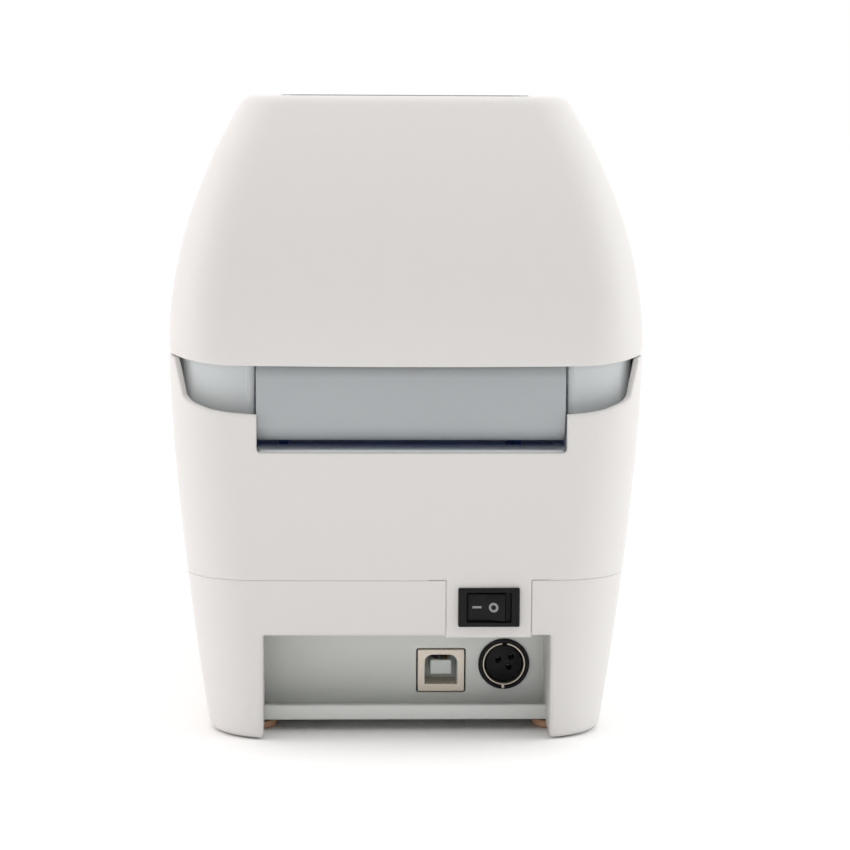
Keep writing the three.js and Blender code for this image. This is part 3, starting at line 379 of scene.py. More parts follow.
def ring(axis, a, b, inner, outer, start, end, e=0.2, sides=48):
    """A tube with broken edges."""
    profile = [(inner + e, start), (outer - e, start), (outer, start + e), (outer, end - e),
               (outer - e, end), (inner + e, end), (inner, end - e), (inner, start + e)]
    return turned(axis, a, b, profile, sides)


def smooth_path(points, steps):
    """Points of a Catmull-Rom curve through the given ones."""
    pts = [Vector(p) for p in points]
    pts = [2 * pts[0] - pts[1]] + pts + [2 * pts[-1] - pts[-2]]
    out = []
    for i in range(1, len(pts) - 2):
        a, b, c, d = pts[i - 1:i + 3]
        for s in range(steps):
            t = s / steps
            out.append(0.5 * (2 * b + (c - a) * t + (2 * a - 5 * b + 4 * c - d) * t * t
                              + (3 * b - a - 3 * c + d) * t ** 3))
    return out + [pts[-2]]


def wire(path, radius, sides=12):
    """A round wire along a path, closed at both ends."""
    path = [Vector(p) for p in path]
    normal = (path[1] - path[0]).normalized().orthogonal().normalized()
    loops = []
    for i, point in enumerate(path):
        tangent = (path[min(i + 1, len(path) - 1)] - path[max(i - 1, 0)]).normalized()
        normal = (normal - tangent * normal.dot(tangent)).normalized()
        side = tangent.cross(normal)
        loops.append([point + radius * (cos(a) * normal + sin(a) * side)
                      for a in [2 * pi * s / sides for s in range(sides)]])
    return loft(loops)


def shade(mesh, sharp=35):
    """Smooth shading with sharp edges above an angle."""
    mesh.shade_smooth()
    mesh.set_sharp_from_angle(angle=radians(sharp))


def make(name, solid, mat):
    """A Blender object from a solid in millimetres."""
    mesh = bpy.data.meshes.new(name)
    mesh.from_pydata([[c * MM for c in v] for v in solid.verts], [], solid.faces)
    bm = bmesh.new()
    bm.from_mesh(mesh)
    bmesh.ops.remove_doubles(bm, verts=bm.verts, dist=2e-6)
    bmesh.ops.dissolve_degenerate(bm, edges=bm.edges, dist=1e-6)
    bmesh.ops.recalc_face_normals(bm, faces=bm.faces)
    bm.to_mesh(mesh)
    bm.free()
    shade(mesh)
    mesh.materials.append(mat)
    return add_object(name, mesh)


def add_object(name, data):
    obj = bpy.data.objects.new(name, data)
    bpy.context.scene.collection.objects.link(obj)
    return obj


def remove(obj):
    data = obj.data
    bpy.data.objects.remove(obj)
    bpy.data.meshes.remove(data)


def as_object(thing, name="helper", mat=WHITE):
    """An object as it is, or one made from a solid."""
    return thing if isinstance(thing, bpy.types.Object) else make(name, thing, mat)


def merge(obj, other):
    """Adds a solid, or another object's mesh, to an object's mesh."""
    other = as_object(other)
    bm = bmesh.new()
    bm.from_mesh(obj.data)
    bm.from_mesh(other.data)
    bm.to_mesh(obj.data)
    bm.free()
    shade(obj.data)
    remove(other)


def carve(obj, cutters, operation="DIFFERENCE", sharp=35):
    """Cuts an object with solids in millimetres and keeps the result as its mesh."""
    helpers = [as_object(cutter) for cutter in cutters]
    for helper in helpers:
        step = obj.modifiers.new("cut", "BOOLEAN")
        step.operation = operation
        step.solver = "EXACT"
        step.object = helper
    bpy.context.view_layer.update()
    graph = bpy.context.evaluated_depsgraph_get()
    mesh = bpy.data.meshes.new_from_object(obj.evaluated_get(graph))
    obj.modifiers.clear()
    old, obj.data = obj.data, mesh
    bpy.data.meshes.remove(old)
    for helper in helpers:
        remove(helper)
    shade(mesh, sharp)
    return obj


def piece(name, solid, mat, body, *stands_for):
    """A visible piece on a body, made from a solid or an object, in place of CAD nodes."""
    obj = as_object(solid, name, mat)
    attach(obj, body)
    if stands_for:
        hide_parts(*stands_for)
    return obj


def span(side, near, far, middle=0.0):
    """The x range between two distances to one side of a middle."""
    return sorted((middle + side * near, middle + side * far))


def at(x=0.0, y=0.0, z=0.0):
    return Matrix.Translation((x, y, z))


# --- outer form


def half_width(z):
    if z > WIDEST_Z:
        return HALF_WIDTH - 19 * ((z - WIDEST_Z) / (HEIGHT - WIDEST_Z)) ** 2
    return HALF_WIDTH - 10.3 * ((WIDEST_Z - z) / WIDEST_Z) ** 1.55


def rear_at(z):
    if z > REAR_BULGE_Z:
        return HALF_DEPTH - 24 * ((z - REAR_BULGE_Z) / (HEIGHT - REAR_BULGE_Z)) ** 1.8
    return HALF_DEPTH - 0.9 * ((REAR_BULGE_Z - z) / REAR_BULGE_Z) ** 1.6


def front_at(z):
    if z < FRONT_BULGE_Z:
        return -HALF_DEPTH + 4 * ((FRONT_BULGE_Z - z) / FRONT_BULGE_Z) ** 2
    if z < FRONT_EDGE_Z:
        return -HALF_DEPTH + 8 * ((z - FRONT_BULGE_Z) / (FRONT_EDGE_Z - FRONT_BULGE_Z)) ** 2
    return -HALF_DEPTH + 8 + 107 * ((z - FRONT_EDGE_Z) / (HEIGHT - FRONT_EDGE_Z)) ** 1.9


def rear_corner(z):
    return 17 - 7 * max(0, (z - WIDEST_Z) / (HEIGHT - WIDEST_Z))


def front_corner(z):
    return 26 - 14 * max(0, (z - FRONT_EDGE_Z) / (HEIGHT - FRONT_EDGE_Z))


class Plan:
    """The rounded plan outline of the outer form at one height, set in by a distance."""

    def __init__(self, z, inset):
        self.half = half_width(z) - inset
        self.rear = rear_at(z) - inset
        self.front = front_at(z) + inset
        self.corner = {1: max(rear_corner(z) - inset, 0.6), -1: max(front_corner(z) - inset, 0.6)}

    def crowned(self, x, y):
        middle = (self.rear + self.front) / 2
        t = (y - middle) / ((self.rear - self.front) / 2)
        crown_by = REAR_CROWN if t > 0 else FRONT_CROWN
        return x, y - t * crown_by * (x / self.half) ** 2

    def dropped(self, end, x, drop):
        return self.crowned(x, self.rear - drop if end > 0 else self.front + drop)

    def on_end(self, end, x):
        """The point of the rear (+1) or front (-1) face at a given x."""
        radius = self.corner[end]
        past = abs(x) - (self.half - radius)
        drop = radius - sqrt(max(radius ** 2 - past ** 2, 0)) if past > 0 else 0
        return self.dropped(end, x, drop)

    def on_corner(self, end, side, share, reach):
        """From the end face at |x| = reach (share 0) round the corner to the side (share 1)."""
        radius = self.corner[end]
        flat = self.half - radius
        start = asin(min(max((reach - flat) / radius, 0), 1))
        straight = max(flat - reach, 0)
        s = share * (straight + radius * (pi / 2 - start))
        if s < straight:
            return self.dropped(end, side * (reach + s), 0)
        angle = start + (s - straight) / radius
        return self.dropped(end, side * (flat + radius * sin(angle)), radius * (1 - cos(angle)))

    def on_side(self, side, share):
        """From the rear corner (share 0) to the front corner (share 1)."""
        y0, y1 = self.rear - self.corner[1], self.front + self.corner[-1]
        return self.crowned(side * self.half, y0 + (y1 - y0) * share)


# The end faces have columns at given places up to this |x|, and the corners take over there.
FACE_HALF = 40.0
CORNER_STEPS, SIDE_STEPS = 16, 26


def column_plan(rear_step, front_step, flow=False):
    """Columns round the outline, from the rear face's +X end past its -X end.

    The end columns stand at a given x, or with flow at a share of the flat face.
    """
    corner = [i / CORNER_STEPS for i in range(1, CORNER_STEPS)]
    side = [i / SIDE_STEPS for i in range(SIDE_STEPS + 1)]
    columns = [("end", 1, x) for x in spaced(FACE_HALF, -FACE_HALF, rear_step)]
    columns += [("corner", 1, -1, share) for share in corner]
    columns += [("side", -1, share) for share in side]
    columns += [("corner", -1, -1, 1 - share) for share in corner]
    columns += [("end", -1, x) for x in spaced(-FACE_HALF, FACE_HALF, front_step)]
    columns += [("corner", -1, 1, share) for share in corner]
    columns += [("side", 1, 1 - share) for share in side]
    columns += [("corner", 1, 1, 1 - share) for share in corner]
    return [(column, flow) for column in columns]


def spaced(start, end, step):
    count = max(2, round(abs(end - start) / step))
    return [start + (end - start) * i / count for i in range(count + 1)]


def skin(column, z, inset):
    """The (x, y) of a column on the outer form at a height, set in by a distance."""
    (kind, *rest), flow = column
    plan = Plan(z, inset)
    if kind == "side":
        return plan.on_side(*rest)
    end = rest[0]
    reach = (plan.half - plan.corner[end]) * 0.999 if flow else FACE_HALF
    if kind == "end":
        return plan.on_end(end, rest[1] * (reach / FACE_HALF))
    return plan.on_corner(*rest, reach)


def foot_of(column):
    """The (x, y) that stands for a column, at the height of the tray's rim."""
    return skin(column, 90, 0)


def seam(y):
    """Height of the seam under the lid."""
    if y > SEAM_BEND_Y:
        return SEAM_Z - 2.3 * ((y - SEAM_BEND_Y) / 20) ** 2
    forward = (SEAM_BEND_Y - max(y, SEAM_FRONT_Y)) / (SEAM_BEND_Y - SEAM_FRONT_Y)
    return SEAM_Z - 12.5 * max(forward, 0) ** 1.5


def shell_section(low, high, wall, rows, r_low, r_high, r_in=0.35):
    """The closed section of a wall as (height, inset) pairs, up the outside and down the inside."""
    top, bottom = high - r_high, low + r_low
    section = [(bottom + (top - bottom) * i / rows, 0.0) for i in range(rows + 1)]
    section += arc(top, r_high, r_high, -90, 0, 5)[1:]
    section += arc(high - r_in, wall - r_in, r_in, 0, 90, 5)
    section += [(high - r_in + (low + r_in - high + r_in) * i / rows, wall) for i in range(1, rows)]
    section += arc(low + r_in, wall - r_in, r_in, 90, 180, 5)
    return section + arc(bottom, r_low, r_low, 180, 270, 5)[:-1]


def sweep(columns, section_of, joined=True):
    """A wall made of one closed section per column."""
    return loft([[(*skin(c, z, inset), z) for z, inset in section_of(*foot_of(c))]
                 for c in columns], joined)


def stacked(levels, columns):
    """A closed form through plan outlines given as (height, inset)."""
    return loft([[(*skin(c, z, inset), z) for c in columns] for z, inset in levels])


def rectangle(x0, x1, z0, z1, radius, step=2.5):
    """The outline of a rounded rectangle as a function of how far it is grown."""
    corners = [(x1 - radius, z0 + radius), (x1 - radius, z1 - radius),
               (x0 + radius, z1 - radius), (x0 + radius, z0 + radius)]

    def points(grow):
        loop = []
        for n, (cx, cz) in enumerate(corners):
            turn = arc(cx, cz, radius + grow, 90 * n - 90, 90 * n, 5)
            loop += turn
            nx, nz = corners[(n + 1) % 4]
            count = max(1, round((abs(nx - cx) + abs(nz - cz)) / step))
            loop += [(turn[-1][0] + (nx - cx) * i / count, turn[-1][1] + (nz - cz) * i / count)
                     for i in range(1, count)]
        return loop

    return points


def flared_cutter(outline, end, deep, radius):
    """A cutter whose mouth widens in a rounded lip at the rear (+1) or front (-1) skin."""
    flare = [radians(82) * i / 5 for i in range(1, 6)]
    steps = [(0, -radius)] + [(radius * (1 - cos(a)), radius * (sin(a) - 1)) for a in flare]
    steps.append((radius * 1.3, 8.0))
    loops = [[(x, deep, z) for x, z in outline(0)]]
    loops += [[(x, Plan(z, 0).on_end(end, x)[1] + end * depth, z) for x, z in outline(grow)]
              for grow, depth in steps]
    return loft(loops)


LID_COLUMNS = column_plan(3.4, 3.4, flow=True)


def roof(top, r):
    """The last levels of a closed top, round its edge and in towards its middle."""
    edge = [(top - r + r * sin(a), r - r * cos(a)) for a in (0.3, 0.6, 0.9, 1.2, pi / 2)]
    return edge + [(top, inset) for inset in (2.8, 5.0, 9.0, 14.0)]


def crown(inset, low=100.0, r=1.9):
    """The closed top of the outer form from a height up, set in from the outer form."""
    top = HEIGHT - inset
    levels = [(low + (top - r - low) * (1 - (1 - i / 34) ** 1.35), 0) for i in range(35)]
    return stacked([(z, inset + extra) for z, extra in levels + roof(top, r)], LID_COLUMNS)


# --- lid cover and window


def lid_wall(inset, low_edge, r):
    """Rows of points from the lid's lower edge up to the middle of its roof."""
    top = HEIGHT - inset
    rows = []
    for i in range(39):
        share = 1 - (1 - i / 38) ** 1.3
        rows.append([(*skin(c, z, inset), z) for c, z in
                     [(c, low + (top - r - low) * share) for c, low in low_edge]])
    return rows + [[(*skin(c, z, inset + extra), z) for c in LID_COLUMNS]
                   for z, extra in roof(top, r)]


def lid_dome():
    """The lid as one skin: down from the roof, round the rim, and the same way up inside."""
    edge = [(c, seam(foot_of(c)[1]) + PLAY) for c in LID_COLUMNS]
    round_out, round_in = 0.6, 0.35
    rows = lid_wall(0, [(c, z + round_out) for c, z in edge], 2.0)[::-1]
    for z, inset in arc(round_out, round_out, round_out, 270, 180, 5)[1:]:
        rows.append([(*skin(c, z + low, inset), z + low) for c, low in edge])
    for z, inset in arc(round_in, WALL - round_in, round_in, 180, 90, 5)[1:-1]:
        rows.append([(*skin(c, z + low, inset), z + low) for c, low in edge])
    return loft(rows + lid_wall(WALL, [(c, z + round_in) for c, z in edge], 1.0))


def window_prism(margin):
    points = rounded(-WINDOW_HALF + margin, WINDOW_HALF - margin, WINDOW_Y[0] + margin,
                     WINDOW_Y[1] - margin, 7 - margin, 10)
    return prism("z", points, 104, 175, width=0)


lid = make("lid_cover_shell", lid_dome(), WHITE)
rebate = carve(make("rebate", window_prism(0), WHITE), [crown(1.6)])
exit_gap = flared_cutter(rectangle(-34, 34, 70, FRONT_EDGE_Z + 3.4, 0.8), -1, -80, 0.5)
carve(lid, [window_prism(3.2), rebate, exit_gap], sharp=32)
piece("lid_cover_shell", lid, WHITE, "lid", "lid_cover")

pane = make("lid_window_pane", window_prism(0.3), WINDOW)
carve(pane, [crown(-0.3)], "INTERSECT")
carve(pane, [crown(1.35)], sharp=32)
pane.data.materials.append(WINDOW_EDGE)
for face in pane.data.polygons:
    if abs(face.normal.z) < 0.3:
        face.material_index = 1
piece("lid_window_pane", pane, WINDOW, "lid", "lid_window")

# --- upper case

RIM_HEIGHTS = [(0, 82.4), (37.6, 82.5), (45, 83.0), (50, 83.7), (53.5, 84.9), (56, 86.6), (57, 90),
               (57.6, 96)]
REAR_CUT_Y, FRONT_CUT_Y = 85, -85


def rim_height(x, y):
    """Top edge of the upper case, which dips behind the hinge."""
    side_line = seam(y) - PLAY
    if y < SEAM_BEND_Y:
        return side_line
    for (x0, z0), (x1, z1) in zip(RIM_HEIGHTS, RIM_HEIGHTS[1:]):
        if abs(x) <= x1:
            t = (abs(x) - x0) / (x1 - x0)
            return min(z0 + (z1 - z0) * (t * t if x0 >= 53 else t), side_line)
    return side_line


def upper_section(x, y):
    behind_tab = y > SEAM_BEND_Y and TAB_X[0] - 2.2 < x < TAB_X[1] + 2.2
    low = TAB_Z - 3 if behind_tab else CASE_SPLIT_Z
    wall = WALL - 0.9 * min(max((y - 60) / 20, 0), 1)
    return shell_section(low, rim_height(x, y), wall, 26, 0.22, 0.9 if y > SEAM_BEND_Y else 0.5)


def upper_case():
    case = make("upper_case_shell", sweep(column_plan(1.6, 2.6), upper_section), WHITE)
    x, z = SWITCH.x, SWITCH.z
    rear = [(rectangle(TAB_X[1], TAB_X[1] + 4.4, 10, CASE_SPLIT_Z, 0.2), 0.6),
            (rectangle(TAB_X[0] - 4.4, TAB_X[0], 10, CASE_SPLIT_Z, 0.2), 0.6),
            (rectangle(TAB_X[0] - 2, TAB_X[1] + 2, 10, TAB_Z, 0.1), 0.8),
            (rectangle(*span(1, -SLOT_HALF, SLOT_HALF, SLOT_X), SLOT_FLOOR_Z, 110, 1.0), 0.5)]
    cutters = [flared_cutter(outline, 1, REAR_CUT_Y, radius) for outline, radius in rear]
    cutters.append(flared_cutter(rectangle(-38, 38, 78.6, 110, 0.8), -1, FRONT_CUT_Y + 1, 0.4))
    button_hole = rectangle(-12.3, 12.3, BUTTON_Z - 5.3, BUTTON_Z + 5.3, 4.9)
    cutters.append(flared_cutter(button_hole, -1, FRONT_CUT_Y, 0.5))
    cutters.append(block(x - 6.7, x + 6.7, REAR_CUT_Y, 110, z - 4.4, z + 4.4, 0))
    for light_x in (-LIGHT_X, LIGHT_X):
        hole = rectangle(light_x - 2.15, light_x + 2.15, LIGHT_Z - 2.15, LIGHT_Z + 2.15, 2.1)
        cutters.append(flared_cutter(hole, -1, FRONT_CUT_Y, 0.25))
    for side, _ in SIDES:
        cutters.append(block(*span(side, 50, 72), -60.6, -46.8, 72.8, 83.2, 0.9, 4))
    return carve(case, cutters)


SWITCH = centre_mm("switch_housing")
SWITCH.y = corner_mm("switch_housing")[1].y - 1.6
piece("upper_case_shell", upper_case(), WHITE, "base", "upper_case")

# --- bottom case


def recess_outline(grow):
    """The recess between the legs, spreading where the legs round off at the bottom."""
    half, top, low, r = RECESS_HALF + grow, RECESS_TOP_Z + grow, GROUND_GAP, 1.8
    right = [(half + 4.0, -9), (half + 4.0, low - 0.4), (half + 2.6, low - 0.3)]
    right += [(half + r - r * cos(a), low - 0.2 + r - r * sin(a))
              for a in [radians(degrees) for degrees in (85, 70, 55, 40, 25, 12, 0)]]
    right += [(half, z) for z in (3.5, 6, 9, 12, 15, 18, 21, 24, 26, top - 0.4)]
    right += [(half - 0.12, top - 0.12), (half - 0.4, top)]
    inner = [(x * 3.0, top) for x in range(10, -11, -1)]
    return right + inner + [(-x, z) for x, z in right[::-1]]


def foot_middle(name):
    """The middle of a foot, which stands a little inside its CAD node's."""
    spot = centre_mm(name)
    return spot.x - copysign(0.7, spot.x), spot.y


def bottom_case():
    columns = column_plan(2.6, 3.2)
    top, foot_round, edge = CASE_SPLIT_Z, 1.8, 0.18
    levels = [(GROUND_GAP + foot_round * (1 - sin(a)), foot_round * (1 - cos(a)))
              for a in (1.571, 1.2, 0.9, 0.6, 0.3, 0.0)]
    levels += [(2.5 + (top - 2.8) * i / 16, 0) for i in range(1, 16)]
    levels += [(top - edge + edge * sin(a), edge - edge * cos(a))
               for a in (0.0, 0.35, 0.7, 1.05, 1.4)]
    case = make("bottom_case_shell", stacked(levels, columns), WHITE)
    floor = GROUND_GAP + WALL
    inner = [(floor, WALL + 0.5), (floor + 0.5, WALL)]
    inner += [(floor + 1 + (60 - floor) * i / 12, WALL) for i in range(13)]
    cavity = make("cavity", stacked(inner, columns), WHITE)
    wide = RECESS_HALF + 2
    carve(cavity, [block(-wide, wide, RECESS_FRONT_Y, 120, -5, RECESS_TOP_Z + 2, 0)])
    tab = rectangle(TAB_X[0] + 0.02, TAB_X[1] - 0.02, 20, 60, 0.3)
    cutters = [cavity, flared_cutter(recess_outline, 1, 60, 1.1), flared_cutter(tab, 1, 92, 0.25)]
    cutters += [bar("z", *foot_middle(name), 5.3, -3, 2.2, 0.01) for name in FEET]
    cutters += [bar("z", *centre_mm(name).xy, 3.3, -3, 5.5, 0.01) for name in SCREWS]
    return carve(case, cutters)


piece("bottom_case_shell", bottom_case(), WHITE, "base", "bottom_case")

# --- sheet-metal floor and connector plate

PANEL_LOW, PANEL_HIGH = corner_mm("io_panel")
JACK = centre_mm("power_jack_shell") + Vector((SOCKET_SHIFT, 0, 0.3))
USB = centre_mm("usb_shell") + Vector((SOCKET_SHIFT, 0, 0))
JACK.y = USB.y = PANEL_HIGH.y


def floor_sheet():
    """The folded floor sheet, whose rear lip closes the foot of the recess."""
    low, high = corner_mm("base_plate")
    lip_y, end = 85.9, high.y
    profile = [(low.y, 3.9), (lip_y - 0.6, 3.9), (lip_y, 3.4), (lip_y, 2.9), (end - 0.1, 2.9),
               (end, 3.1), (end, 6.2)]
    profile += arc(end - 0.5, 6.2, 0.5, 0, 90, 4)[1:]
    profile += [(lip_y + 0.1, 6.7), (lip_y, 6.5), (lip_y, 5.4), (lip_y - 0.6, 4.8), (low.y, 4.8)]
    return prism("x", profile, -RECESS_HALF - 0.05, RECESS_HALF + 0.05, 0.12, 2, 50)


def connector_plate():
    wide = RECESS_HALF + 0.2
    plate = make("connector_plate", block(-wide, wide, PANEL_LOW.y, PANEL_HIGH.y, 4.7,
                                          PANEL_HIGH.z + 0.4, 0.1), PANEL_GREY)
    usb_hole = rounded(USB.z - 5.8, USB.z + 5.8, USB.x - 6.4, USB.x + 6.4, 0.7)
    return carve(plate, [prism("y", usb_hole, 60, 90, 0),
                         bar("y", JACK.z, JACK.x, 6.6, 60, 90, 0.01, 64)])


piece("floor_sheet", floor_sheet(), PANEL_GREY, "base", "base_plate")
piece("connector_plate", connector_plate(), PANEL_GREY, "base", "io_panel")

# --- lid's inner frame


def tail_profile():
    """Side section of the curved tail that closes the rear slot."""
    outer = arc(HINGE_Y, HINGE_Z, 4.9, 42, 0, 8)
    outer += curve((97.85, 84.6), (97.75, 81.6), (97.3, 79.2), 6)
    outer += curve((97.3, 79.2), (96.4, 76.6), (93.4, 75.5), 8)[1:]
    inner = [(92.7, 76.2), (93.2, 77.2)]
    inner += curve((94.2, 77.8), (95.8, 79.6), (95.9, 84.6), 6)
    inner += arc(HINGE_Y, HINGE_Z, 3.2, 0, 60, 6)
    return [(96.2, 99.5)] + outer + inner + [(94.4, 99.5)]


def lip_section(x, y):
    """Section of the rim that runs inside the lid's edge."""
    low, high = seam(y) + 0.9, seam(y) + 4
    near, far = 2.8, 7.0
    return [(low, near + 0.3), (low + 0.3, near), (high - 0.3, near), (high, near + 0.3),
            (high, far - 0.3), (high - 0.3, far), (low + 0.3, far), (low, far - 0.3)]


def lid_frame():
    parts = [prism("x", tail_profile(), SLOT_X - 38.3, SLOT_X + 38.75, 0.35, 3, 40)]
    for side, _ in SIDES:
        across = span(side, 30, 33.2, SLOT_X)
        parts += [ring("x", HINGE_Y, HINGE_Z, 1.4, 2.8, *across, 0.15, 32),
                  block(*across, HINGE_Y + 1.6, 96.2, HINGE_Z - 2, HINGE_Z + 2, 0.2)]
    columns = column_plan(4, 4)
    front = [i for i, column in enumerate(columns)
             if foot_of(column)[1] < -78 and abs(foot_of(column)[0]) < 50]
    parts += [sweep(columns[front[-1] + 1:] + columns[:front[0]], lip_section, joined=False),
              block(-53, 53, -54, -49, 91.6, 99.6, 0.5),
              block(-38.6, 38.6, -80, -49, 97.5, 99.5, 0.4)]
    for side, _ in SIDES:
        parts += [block(*span(side, 36, 38.6), -62, -49, 88, 99.5, 0.5),
                  bar("x", -58, 92, 1.5, *span(side, 33, 36.5), 0.2, 24),
                  block(*span(side, 50.2, 51.7), -49.8, -44.4, 82.2, 94, 0.4),
                  bar("x", -47, 84, 1.8, *span(side, 46.4, 51), 0.3, 24)]
        parts += [block(*span(side, 29.3, 30.7), y, y + 6, 96, 98, 0.2) for y in (-76, -66)]
    return collect(*parts)


# The lid's frame takes the darker tail grey, whose darkness is painted shade.
piece("lid_frame_moulding", lid_frame(), TAIL_GREY_PAINTED_SHADE, "lid", "lid_inner_frame")

# --- media tray

TRAY_WALL = 1.8
TRAY_HALF, TRAY_FRONT_Y = 46, -42


def rear_rim_y(x):
    return 92.9 - 4.2 * (x / 54) ** 3


def tray_path(side):
    """Plan of the tray's rim from the rear slot round to its front edge."""
    start, bend = abs(SLOT_X + side * (SLOT_HALF + 0.45)), 53.4
    path = [(x, rear_rim_y(x)) for x in [start + (bend - start) * i / 8 for i in range(9)]]
    path += curve((bend, rear_rim_y(bend)), (55.2, 88.0), (56.2, 85.6), 6)[1:]
    path += curve((56.2, 85.6), (57.9, 80), (57.9, 66), 6)[1:]
    path += [(57.9 - 1.5 * min((66 - y) / 30, 1), y) for y in (50, 34, 18, 2, -14, -30)]
    path += curve((56.4, -37), (56.4, TRAY_FRONT_Y), (51.4, TRAY_FRONT_Y), 6)
    return path + [(x, TRAY_FRONT_Y) for x in (TRAY_HALF, 40, 34.5)]


def tray_rim(side):
    path = tray_path(side)
    low = 70.0
    sections = []
    for i, (x, y) in enumerate(path):
        run = (Vector(path[min(i + 1, len(path) - 1)]) - Vector(path[max(i - 1, 0)])).normalized()
        inward = Vector((run.y, -run.x))
        top = seam(y) + 0.6 if y > 66 else min(seam(y) + 1.5, 94.3)
        section = [(low, 0.0)] + [(low + (top - low - 0.8) * t / 8, 0.0) for t in range(1, 9)]
        section += [(top - 0.25, 0.25), (top, 0.8), (top, TRAY_WALL - 0.8),
                    (top - 0.25, TRAY_WALL - 0.25), (top - 0.8, TRAY_WALL), (low, TRAY_WALL)]
        sections.append([(side * (x + inward.x * inset), y + inward.y * inset, z)
                         for z, inset in section])
    return loft(sections)


def tub_line(inset):
    """Side line of the tub's floor from its front rim to its rear rim."""
    floor, front, rear = 24.2 + inset, TRAY_FRONT_Y + inset, 90 - inset
    line = [(front, 72)] + curve((front, 44), (front, floor), (-20, floor), 12)
    line += [(0, floor), (20, floor), (40, floor)]
    return line + curve((56, floor), (rear - 16, floor), (rear, 54), 14) + [(rear, 72)]


def tray():
    trough = prism("x", tub_line(0) + tub_line(TRAY_WALL)[::-1], 0.1 - TRAY_HALF, TRAY_HALF - 0.1,
                   0.2, 2, 40)
    rack_slots = [block(9, 34.5, 23.9, 27.7, 20, 30, 0), block(-34.5, -9, 2.3, 6.1, 20, 30, 0)]
    body = carve(make("media_tray_moulding", trough, TRAY_GREY), rack_slots)
    parts = []
    for side, _ in SIDES:
        parts += [
            prism("x", tub_line(0.3), *span(side, 44.2, TRAY_HALF), 0.2, 2, 40),
            tray_rim(side),
            block(*span(side, 44.2, 55.6), -41, 85, 70, 72, 0.3),
            ring("x", HINGE_Y, HINGE_Z, 1.4, 2.8, *span(side, 33.5, 36.5, SLOT_X), 0.15, 32),
            block(*span(side, 33.5, 36.5, SLOT_X), 80, HINGE_Y - 1.2, HINGE_Z - 0.2,
                  HINGE_Z + 2.6, 0.2),
            block(*span(side, 33.5, 42, SLOT_X), 79, 84, HINGE_Z - 0.2, HINGE_Z + 2.6, 0.3),
            block(*span(side, SLOT_HALF + 0.6, SLOT_HALF + 2.4, SLOT_X), 79, 92, SLOT_FLOOR_Z - 1,
                  HINGE_Z + 2.6, 0.4)]
    sill = span(1, -38.2, 38.2, SLOT_X)
    parts += [block(-TRAY_HALF, TRAY_HALF, 86, 91.4, 70, 73.4, 0.3),
              block(*sill, 84, 97.4, SLOT_FLOOR_Z - 1, SLOT_FLOOR_Z + 0.35, 0.6, 4),
              block(*sill, 84, 92.4, SLOT_FLOOR_Z - 1.4, SLOT_FLOOR_Z + 0.1, 0.2)]
    for x in (42.6, -42.6):
        parts += [block(x - 0.9, x + 0.9, y, y + 1.2, 30, 68, 0.3) for y in (-10, 6, 22, 38)]
    low = corner_mm("media_tray")[0].z
    parts += [ring("z", *centre_mm(name).xy, 1.5, 3.6, low, 25, 0.2, 28) for name in SCREWS]
    merge(body, collect(*parts))
    return body


piece("media_tray_moulding", tray(), TRAY_GREY, "base", "media_tray")

# --- rear connectors and switch


def switch_bezel():
    half_x, half_z = 7.7, 4.9
    rim = [rounded(by - half_z, half_z - by, by - half_x, half_x - by, max(0.35 - by, 0.1), 6)
           for by in (0, 0.15, 0.45)]
    well = rounded(-3.75, 3.75, -5.55, 5.55, 0.3, 6)
    loops = [(rim[0], 0.0), (rim[0], 1.2), (rim[1], 1.48), (rim[2], 1.6),
             (rounded(-3.9, 3.9, -5.7, 5.7, 0.3, 6), 1.6), (well, 1.4), (well, -4.5)]
    tabs = [block(x - 0.4, x + 0.4, -16, -10.5, -2.2, 2.2, 0.1) for x in (-3.6, 3.6)]
    return collect(loft([[(x, y, z) for z, x in points] for points, y in loops]),
                   block(-6.4, -5.6, -11, 0.2, -4.1, 4.1, 0.2),
                   block(5.6, 6.4, -11, 0.2, -4.1, 4.1, 0.2),
                   block(-6.4, 6.4, -11, -4.6, -4.1, 4.1, 0.3), *tabs).moved(at(*SWITCH))


ROCKER_HALF = 4.7


def rocker_face(x):
    """How far the hollow face of the rocker stands out from its pivot."""
    return 3.8 + 0.8 * (abs(x) / ROCKER_HALF) ** 1.6


def rocker():
    """A rocker with two slightly hollow halves, in its own upright frame."""
    xs = [-ROCKER_HALF + 2 * ROCKER_HALF * i / 24 for i in range(25)]
    back = [(-0.6, ROCKER_HALF), (-2.4, 0), (-0.6, -ROCKER_HALF)]
    return prism("z", [(x, rocker_face(x)) for x in xs] + [(x, y) for y, x in back], -3.45, 3.45,
                 0.3, 3, 25)


def printed(edges, joined):
    """A printed mark that follows the hollow face, from pairs of edge points (x, z)."""
    return loft([[(x1, rocker_face(x1) - 0.12, z1), (x1, rocker_face(x1) + 0.05, z1),
                  (x0, rocker_face(x0) + 0.05, z0), (x0, rocker_face(x0) - 0.12, z0)]
                 for (x0, z0), (x1, z1) in edges], joined)


def rocker_marks():
    """The line and the ring printed on the two halves."""
    line = [((x, -0.27), (x, 0.27)) for x in [1.25 + 2.25 * i / 8 for i in range(9)]]
    inner, outer = arc(-1.8, 0, 0.62, 0, 350, 35), arc(-1.8, 0, 1.22, 0, 350, 35)
    return collect(printed(line, False), printed(list(zip(inner, outer)), True))


lean = at(*(SWITCH - Vector((0, 3.1, 0)))) @ Matrix.Rotation(radians(-9), 4, "Z")
piece("switch_bezel", switch_bezel(), BLACK, "base", "switch_housing")
piece("switch_rocker_cap", rocker().moved(lean), BLACK, "rocker", "switch_rocker")
piece("switch_marks", rocker_marks().moved(lean), MARK, "rocker")


def put(obj, spot):
    """Moves an object's mesh by a vector in millimetres."""
    obj.data.transform(at(*(spot * MM)))
    return obj


